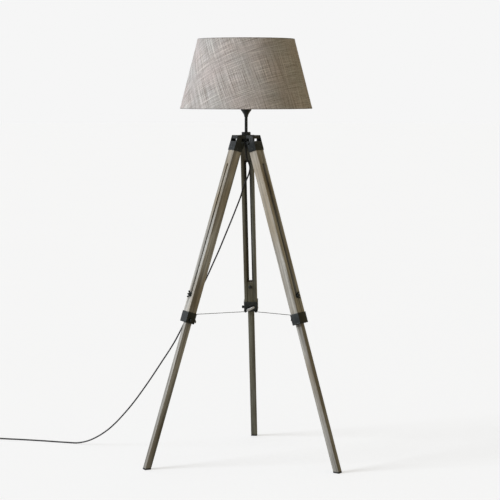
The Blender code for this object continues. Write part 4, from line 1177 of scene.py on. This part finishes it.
def addHub():
    low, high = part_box("hub_casting")
    pivots = Vector(joints["leg_fold_rear"]["pos_m"]) - Vector((0, axisY, 0))
    reach = math.hypot(pivots.x, pivots.y)
    up = Vector(joints["leg_slide_rear"]["axis"])
    tilt = math.acos(up.z)
    wallX = 0.0253 - 0.0004
    under = high.z - hub["armThickness"]
    ends = []
    for height in (under, high.z):
        ends.append(reach + (wallX - (height - pivots.z) * math.sin(tilt)) / math.cos(tilt))
    bossProfile = eased(
        [(hub["boss"], hub["foot"]), (hub["boss"], high.z), (0.0058, high.z), (0.0058, hub["foot"])],
        0.0008, 3,
    )
    boss = lathe(bossProfile, 64)
    arm = eased(
        [(0.0078, under), (ends[0], under), (ends[1], high.z), (0.0078, high.z)], [0, 0.001, 0.003, 0], 4
    )
    r = hub["lugRadius"]
    lug = [
        (reach - r, pivots.z - r), (reach + r, pivots.z - r), (reach + r, under + 0.004),
        (reach - r, under + 0.004),
    ]
    lug = eased(lug, [0.95 * r, 0.95 * r, 0, 0], 8)
    pieces = []
    hollow = [(0.0070, high.z + 0.01), (0.0070, low.z - 0.01), (0, low.z - 0.01), (0, high.z + 0.01)]
    holes = [lathe(hollow, 48, closed=False)]
    for azimuth in hub["azimuths"]:
        turn = Matrix.Rotation(math.radians(azimuth), 4, "Z") @ sideOn
        pieces.append(sheetPlate(arm, hub["armWidth"], 0.0004, place=turn))
        pieces.append(sheetPlate(lug, 2 * hub["lugHalf"], 0.0006, [disc(boltHole, (reach, pivots.z))], turn))
    arms = carved(pieces[0], holes, 0, welded=[pieces[2], pieces[4]])
    mesh = together(arms, boss, pieces[1], pieces[3], pieces[5])
    settle("hub_casting", mesh, "cast", "head", lampAxis)
    low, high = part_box("hub_sleeve_nut")

    def flats(angle, radius, height):
        # two flats for a spanner
        if radius < 0.012 or height > low.z + 0.008:
            return 0
        across = abs(math.sin(angle)) * radius
        return 0 if across < hub["flats"] else radius - hub["flats"] / abs(math.sin(angle))

    r = hub["sleeve"]
    outline = [(r - 0.0012, high.z), (r, high.z - 0.0012), (r, low.z + 0.0085), (r - 0.0006, low.z + 0.0082)]
    outline += [(r - 0.0006, low.z + 0.0076), (r, low.z + 0.0072), (r, low.z + 0.0006), (r - 0.0006, low.z)]
    outline += [(0.0064, low.z), (0.0058, low.z + 0.0006), (0.0058, high.z - 0.0006), (0.0064, high.z)]
    mesh = lathe(outline, 96, relief=flats)
    settle("hub_sleeve_nut", mesh, "black", "head", lampAxis, 32)


addShadeFrame()
addShadeFabric()
addShadeLiner()
addHolder()
addFunnel()
addBulb()
addHub()
print("shade, bulb, holder and hub done")

# The legs, each in its own place

leg = {
    "upperInner": -0.006,
    "upperOuter": 0.025,
    "upperHalf": 0.0235,
    "wall": 0.007,  # behind the channel
    "channelHalf": 0.0119,
    "channelTop": -0.068,
    "slotHalf": 0.0055,
    "slotTop": -0.083,
    "slotEnd": -0.583,
    "round": 0.0014,
    "lowerInner": -0.0046,
    "lowerOuter": 0.0176,
    "lowerHalf": 0.0115,
    "boltLevel": -0.5775,
    "washer": 0.0015,
}


def addUpperWood(side, seed):
    place = legs[side]
    low, high = boxIn(place, "upper_leg_" + side)
    half = leg["upperHalf"]
    beam = block((leg["upperInner"], -half, low.z), (leg["upperOuter"], half, high.z), 0)
    floor = leg["upperOuter"] - leg["wall"]
    width = leg["channelHalf"]
    channel = block((-0.02, -width, low.z - 0.01), (floor, width, leg["channelTop"]), 0)
    end = leg["slotHalf"]
    slot = [(-end, leg["slotEnd"]), (end, leg["slotEnd"]), (end, leg["slotTop"]), (-end, leg["slotTop"])]
    slotCut = sheetPlate(eased(slot, 0.98 * end, 8), 0.03, 0, place=moved(0.0215, 0, 0) @ faceOn)
    screwAt = moved(collar["screwOut"], half - 0.008, collar["screwLevel"]) @ alongY
    screwHole = lathe([(0, 0), (boltHole, 0), (boltHole, 0.02), (0, 0.02)], 24, closed=False, place=screwAt)
    mesh = carved(beam, [channel, slotCut, screwHole], leg["round"], 3)
    wood = woodFinish("greyWood" + side.capitalize(), 3 * seed + 1, False)
    node = "upper_leg_" + side
    settle(node, mesh, wood, "leg_" + side, place, 50)


def lowerLength(side, bottom, top, edge):
    # a length of the lower leg in its own place; the cuts are level in the world, so they are turned by back
    back = legs[side].inverted()
    low, high = boxIn(legs[side], "lower_leg_" + side)
    half = leg["lowerHalf"]
    shape = bmesh.new()
    shape.from_mesh(block((leg["lowerInner"], -half, low.z - 0.02), (leg["lowerOuter"], half, high.z), 0))
    for height, above in ((bottom, False), (top, True)):
        if height is None:
            continue
        spot = back @ Vector((0, 0, height))
        normal = back.to_3x3() @ Vector((0, 0, 1))
        everything = shape.verts[:] + shape.edges[:] + shape.faces[:]
        bmesh.ops.bisect_plane(
            shape, geom=everything, plane_co=spot, plane_no=normal, clear_outer=above, clear_inner=not above
        )
        bmesh.ops.holes_fill(shape, edges=[line for line in shape.edges if line.is_boundary])
    bmesh.ops.bevel(shape, geom=shape.edges[:], offset=edge, segments=3, affect="EDGES", profile=0.5)
    return meshFrom(shape, "leveled")


def addLowerWood(side, seed):
    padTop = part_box("foot_pad_" + side)[1].z
    mesh = lowerLength(side, padTop + slack, None, leg["round"])
    wood = woodFinish("greyWoodLower" + side.capitalize(), 3 * seed + 2, True)
    node = "lower_leg_" + side
    settle(node, mesh, wood, "foot_" + side, legs[side], 50)
    pad = lowerLength(side, 0.0, padTop, 0.0007)
    pad.transform(legs[side])
    node = "foot_pad_" + side
    settle(node, pad, "rubber", "foot_" + side, None, 50)


cap = {
    "sheet": 0.0018, "end": -0.034, "fold": 0.0022, "ear": 0.007, "window": 0.0295,
    "ribs": (-0.0135, 0, 0.0135),
}


def addCap(side):
    place = legs[side]
    high = boxIn(place, "leg_cap_" + side)[1]
    pivot = place.translation
    up = place.to_3x3() @ Vector((0, 0, 1))
    tilt = math.acos(up.z)
    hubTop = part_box("hub_casting")[1].z

    def onLeg(radius, height):
        out, rise = radius - 0.026, height - pivot.z
        return (
            out * math.cos(tilt) + rise * math.sin(tilt),
            rise * math.cos(tilt) - out * math.sin(tilt),
        )

    def levelAt(x, height):
        return (height - pivot.z - x * math.sin(tilt)) / math.cos(tilt)

    half = high.y
    outerX, wallX = high.x, high.x - cap["sheet"]
    wallTop = levelAt(wallX, pivot.z + 0.007)
    # the folded channel, seen from above: its outline, then its inner side
    inner = half - cap["sheet"]
    outline = [
        (-0.02, -half), (outerX, -half), (outerX, half), (-0.02, half), (-0.02, inner), (wallX, inner)
    ]
    outline += [(wallX, -inner), (-0.02, -inner)]
    fold = cap["fold"]
    outline = eased(outline, [0, fold, fold, 0, 0, 0.0006, 0.0006, 0], 5)
    channel = sheetPlate(outline, 0.10, 0, place=moved(0, 0, cap["end"] + 0.05))
    corners = [(-0.006, cap["end"]), (outerX + 0.001, cap["end"]), (outerX + 0.001, levelAt(outerX, hubTop))]
    corners += [onLeg(cap["window"], hubTop), onLeg(cap["window"], pivot.z + 0.007)]
    corners += [(-cap["ear"], cap["ear"]), (-cap["ear"], -cap["ear"])]
    cheek = eased(corners, [0.0012, 0, 0.0028, 0.0015, 0.0008, 0.9 * cap["ear"], 0.004], 5)
    across = sheetPlate(cheek, 0.08, 0, [disc(boltHole)], sideOn)
    aboveWall = block((0.018, -inner, wallTop), (0.05, inner, 0.1), 0)
    mesh = carved(channel, [aboveWall], 0.0004, 2, kept=[across])
    extras = []
    for y in cap["ribs"]:
        # pressed ribs in the outer wall
        rib = [
            (-0.0016, cap["end"] + 0.006), (0.0016, cap["end"] + 0.006), (0.0016, wallTop - 0.006),
            (-0.0016, wallTop - 0.006),
        ]
        rib = eased(rib, 0.0015, 5)
        extras.append(sheetPlate(rib, 0.0016, 0.0007, place=moved(outerX - 0.0001, y, 0) @ faceOn))
    for sign in (-1, 1):
        # a round-headed wood screw through each cheek
        dome = [
            (0, 0.0017), (0.0014, 0.0016), (0.0026, 0.0011), (0.0033, 0.0002), (0.0033, -0.0003),
            (0, -0.0003),
        ]
        spot = moved(0.0125, sign * half, cap["end"] + 0.0095) @ Matrix.Scale(sign, 4, (0, 1, 0)) @ alongY
        extras.append(lathe(dome, 28, closed=False, place=spot))
    mesh = together(mesh, *extras)
    settle("leg_cap_" + side, mesh, "black", "leg_" + side, place)
    # the pivot bolt and its nut
    start = half + slack
    profile = [
        (0, start + 0.0030), (0.0012, start + 0.0029), (0.0030, start + 0.0026), (0.0043, start + 0.0018)
    ]
    profile += [(0.0050, start + 0.0008), (0.0050, start + 0.0002), (0.0048, start), (0.003, start)]
    profile += [(0.003, -start - 0.0034), (0.0026, -start - 0.0040), (0, -start - 0.0040)]
    socket = sheetPlate(disc(0.0021, steps=6), 0.0032, 0, place=moved(0, start + 0.0032, 0) @ sideOn)
    bolt = carved(lathe(profile, 40, closed=False, place=alongY), [socket], 0)
    settle("pivot_bolt_" + side, bolt, "black", "leg_" + side, place, 30)
    nutPlace = moved(0, -start - 0.002, 0) @ sideOn
    nut = sheetPlate(disc(0.0058, steps=6), 0.0040, 0.0004, [disc(boltHole, steps=28)], nutPlace)
    settle("pivot_nut_" + side, nut, "black", "leg_" + side, place, 30)


collar = {
    "top": -0.639,
    "bottom": -0.679,
    "side": 0.0258,
    "inner": -0.0083,
    "outer": 0.0273,
    "wall": 0.002,
    "eyeSide": 0.019,
    "eyeLevels": {"rear": -0.6775, "left": -0.646, "right": -0.646},
    "eyeSides": {"rear": (-1, 1), "left": (-1,), "right": (1,)},
    "keyLevel": -0.663,
    "screwLevel": -0.667,
    "screwOut": 0.0095,
    "keyHalf": 0.017,
    "keyTurn": math.radians(29),
}


def addCollar(side):
    place = legs[side]
    body = "leg_" + side
    x0, x1, half = collar["inner"], collar["outer"], collar["side"]
    bottom, top, wall = collar["bottom"], collar["top"], collar["wall"]
    sleeve = block((x0, -half, bottom), (x1, half, top), 0.0016, 4)
    pocket = block((x0 + wall, -half + wall, bottom + 0.003), (x1 - wall, half - wall, top + 0.01), 0)
    passage = block((-0.005, -0.0119, bottom - 0.01), (0.0180, 0.0119, top), 0)
    keyHole = lathe([(0, -0.01), (boltHole, -0.01), (boltHole, 0.01), (0, 0.01)], 28, closed=False,
                    place=moved(x0, 0, collar["keyLevel"]) @ alongX)
    screwHole = lathe([(0, -0.005), (boltHole, -0.005), (boltHole, 0.005), (0, 0.005)], 28, closed=False,
                      place=moved(collar["screwOut"], half, collar["screwLevel"]) @ alongY)
    pieces = [carved(sleeve, [pocket, passage, keyHole, screwHole], 0.0003, 2)]
    for sign in collar["eyeSides"][side]:
        eye = [(0.001, -0.004), (0.001, 0.004), (-0.007, 0.004), (-0.007, -0.004)]
        eye = eased(eye, [0, 0, 0.0036, 0.0036], 8)
        spot = moved(x0, sign * collar["eyeSide"], collar["eyeLevels"][side])
        pieces.append(sheetPlate(eye, 0.003, 0.0004, [disc(0.0018, (-0.003, 0))], spot))
    # rolled lips stand round the sleeve's two ends
    for level in (bottom + 0.0032, top - 0.0012):
        lip = eased([(x0, -half), (x1, -half), (x1, half), (x0, half)], 0.0020, 6)
        pieces.append(wire([(x, y, level) for x, y in lip], 0.0007, closed=True, fineness=2))
    settle("collar_" + side, together(*pieces), "black", body, place, 40)
    # knurled side screw
    head = half + slack

    def knurl(angle, radius, height):
        return 0.00035 * (0.5 + 0.5 * math.cos(30 * angle)) if radius > 0.0050 else 0

    profile = [(0, head + 0.0090), (0.0030, head + 0.0090), (0.0042, head + 0.0086), (0.0055, head + 0.0076)]
    profile += [(0.0055, head + 0.0028), (0.0049, head + 0.0022), (0.0040, head + 0.0019), (0.0040, head)]
    profile += [(0.003, head), (0.003, 0.0158), (0, 0.0158)]
    spot = moved(collar["screwOut"], 0, collar["screwLevel"]) @ alongY
    screw = lathe(profile, 180, closed=False, place=spot, relief=knurl)
    settle("collar_screw_" + side, screw, "black", body, place, 40)
    # key screw
    end = x0 - 0.0085
    tip = leg["lowerInner"] - slack
    profile = [(0, end), (0.0048, end), (0.0048, x0 - 0.0046), (0.0045, x0 - 0.0043), (0.003, x0 - 0.0043)]
    profile += [(0.003, tip - 0.0004), (0.0026, tip), (0, tip)]
    half = collar["keyHalf"]
    plate = eased([(-half, -0.0045), (half, -0.0045), (half, 0.0045), (-half, 0.0045)], 0.0043, 8)
    turn = Matrix.Rotation(-collar["keyTurn"], 4, "Z")
    wings = sheetPlate(plate, 0.002, 0.0006, place=moved(end - 0.0005, 0, 0) @ faceOn @ turn)
    dimples = []
    for sign in (-1, 1):
        dent = [(0, 0.0003), (0.0022, 0.0003), (0.0030, 0), (0.0030, -0.0003), (0, -0.0003)]
        spot = moved(end - 0.0016, 0, 0) @ faceOn @ turn @ moved(sign * 0.0100, 0, 0) @ Matrix.Scale(
            -1, 4, (0, 0, 1)
        )
        dimples.append(lathe(dent, 24, closed=False, place=spot))
    key = together(lathe(profile, 40, closed=False, place=alongX), wings, *dimples)
    keyPlace = place @ moved(0, 0, collar["keyLevel"])
    settle("key_screw_" + side, key, "steel", "key_" + side, keyPlace)


def addSlotBolt(side):
    place = legs[side] @ moved(0, 0, leg["boltLevel"])
    head = leg["lowerInner"] - slack
    outer = leg["upperOuter"]
    end = outer + 2 * slack + leg["washer"] + 0.011
    profile = [(0, end), (0.0022, end), (0.0030, end - 0.0008)]
    z = end - 0.0012
    while z > outer + 0.0085:
        profile += [(0.0030, z), (0.0027, z - 0.0003), (0.0030, z - 0.0006)]
        z -= 0.0008
    profile += [
        (0.003, outer - slack), (0.0051, outer - slack), (0.0051, outer - 0.007), (0.003, outer - 0.007)
    ]
    profile += [
        (0.003, head), (0.0068, head), (0.007, head - 0.0003), (0.0069, head - 0.0011),
        (0.0058, head - 0.0021),
    ]
    profile += [(0.0038, head - 0.0027), (0.0015, head - 0.0030), (0, head - 0.0030)]
    bolt = lathe(profile, 48, closed=False, place=alongX)
    node = "slot_bolt_" + side
    settle(node, bolt, "black", "foot_" + side, place)
    start = outer + slack
    top = start + leg["washer"]
    ring = eased([(0.009, start), (0.009, top), (boltHole, top), (boltHole, start)], 0.0004, 3)
    node = "slot_washer_" + side
    settle(node, lathe(ring, 56, place=alongX), "black", "foot_" + side, place, 40)
    start = outer + 2 * slack + leg["washer"]
    ring = [
        (0.0036, start + 0.006), (0.0042, start + 0.0058), (0.0054, start + 0.0012),
        (0.0056, start + 0.0004),
    ]
    ring += [(0.0052, start), (boltHole, start), (boltHole, start + 0.0057)]
    pieces = [lathe(ring, 48, place=alongX)]
    for sign in (-1, 1):
        ear = [
            (start + 0.001, sign * 0.0041), (start + 0.0008, sign * 0.0054), (start + 0.0045, sign * 0.0125)
        ]
        ear += [
            (start + 0.0110, sign * 0.0132), (start + 0.0106, sign * 0.0080),
            (start + 0.0052, sign * 0.0041),
        ]
        outline = eased(ear, [0, 0.0008, 0.0040, 0.0024, 0.0028, 0], 6)
        pieces.append(sheetPlate(outline, 0.0024, 0.0009, place=sideOn))
    node = "wing_nut_" + side
    settle(node, together(*pieces), "black", "wing_" + side, place, 45)


chain = {"wire": 0.00045, "length": 0.0054, "width": 0.0029, "ring": 0.0042, "foldAngle": math.radians(14.5)}


def eyePoint(side, sign):
    tip = Vector((collar["inner"] - 0.003, sign * collar["eyeSide"], collar["eyeLevels"][side]))
    return legs[side] @ tip


def linkMesh(place, length, width, radius):
    half = (length - width) / 2
    points = []
    for start, x in ((-90, half), (90, -half)):
        for i in range(7):
            angle = math.radians(start + 30 * i)
            r = width / 2 - radius
            points.append((x + r * math.cos(angle), r * math.sin(angle), 0))
    return wire(points, radius, closed=True, fineness=1, place=place)


def addChain(side, sign):
    rear, front = eyePoint("rear", sign), eyePoint(side, -sign)
    along = (front - rear).normalized()
    span = (front - rear).length
    across = along.cross(Vector((0, 0, 1))).normalized()
    rise = across.cross(along)
    upright = Matrix((along, across, rise)).transposed().to_4x4()
    ringRadius = chain["ring"]
    ends = 2 * (ringRadius - 0.0005)
    pitch = chain["length"] - 4 * chain["wire"]
    count = round((span - ends) / pitch)
    count += 1 - count % 2
    pitch = (span - ends - 0.002) / count
    pieces = []
    for i in range(count):
        at = rear + along * (ends / 2 + 0.0010 + pitch * (i + 0.5))
        turn = Matrix.Rotation(math.radians(45 + 90 * (i % 2)), 4, "X")
        spot = Matrix.Translation(at) @ upright @ turn
        pieces.append(linkMesh(spot, chain["length"], chain["width"], chain["wire"]))
    for eye, way in ((rear, 1), (front, -1)):
        # a split ring through each eye
        middle = eye + along * way * (ringRadius - 0.0010)
        ring = []
        for i in range(29):
            angle = math.radians(20 + 340 * i / 28)
            x, z = ringRadius * math.cos(angle) * 0.9, ringRadius * math.sin(angle) * 0.9
            ring.append((x, 0.0003 * (i / 28 - 0.5), z))
        pieces.append(wire(ring, 0.0005, fineness=2, place=Matrix.Translation(middle) @ upright))
    obj = settle("chain_" + side, together(*pieces), "chain", "leg_rear", None, 60)
    # folding the legs brings the two eyes together; the chain gets the fold angle and a mesh of its own

    angle = chain["foldAngle"]
    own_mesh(obj)


for seed, side in enumerate(sides):
    addUpperWood(side, seed)
    addLowerWood(side, seed)
    addCap(side)
    addCollar(side)
    addSlotBolt(side)
addChain("left", 1)
addChain("right", -1)
print("legs done")
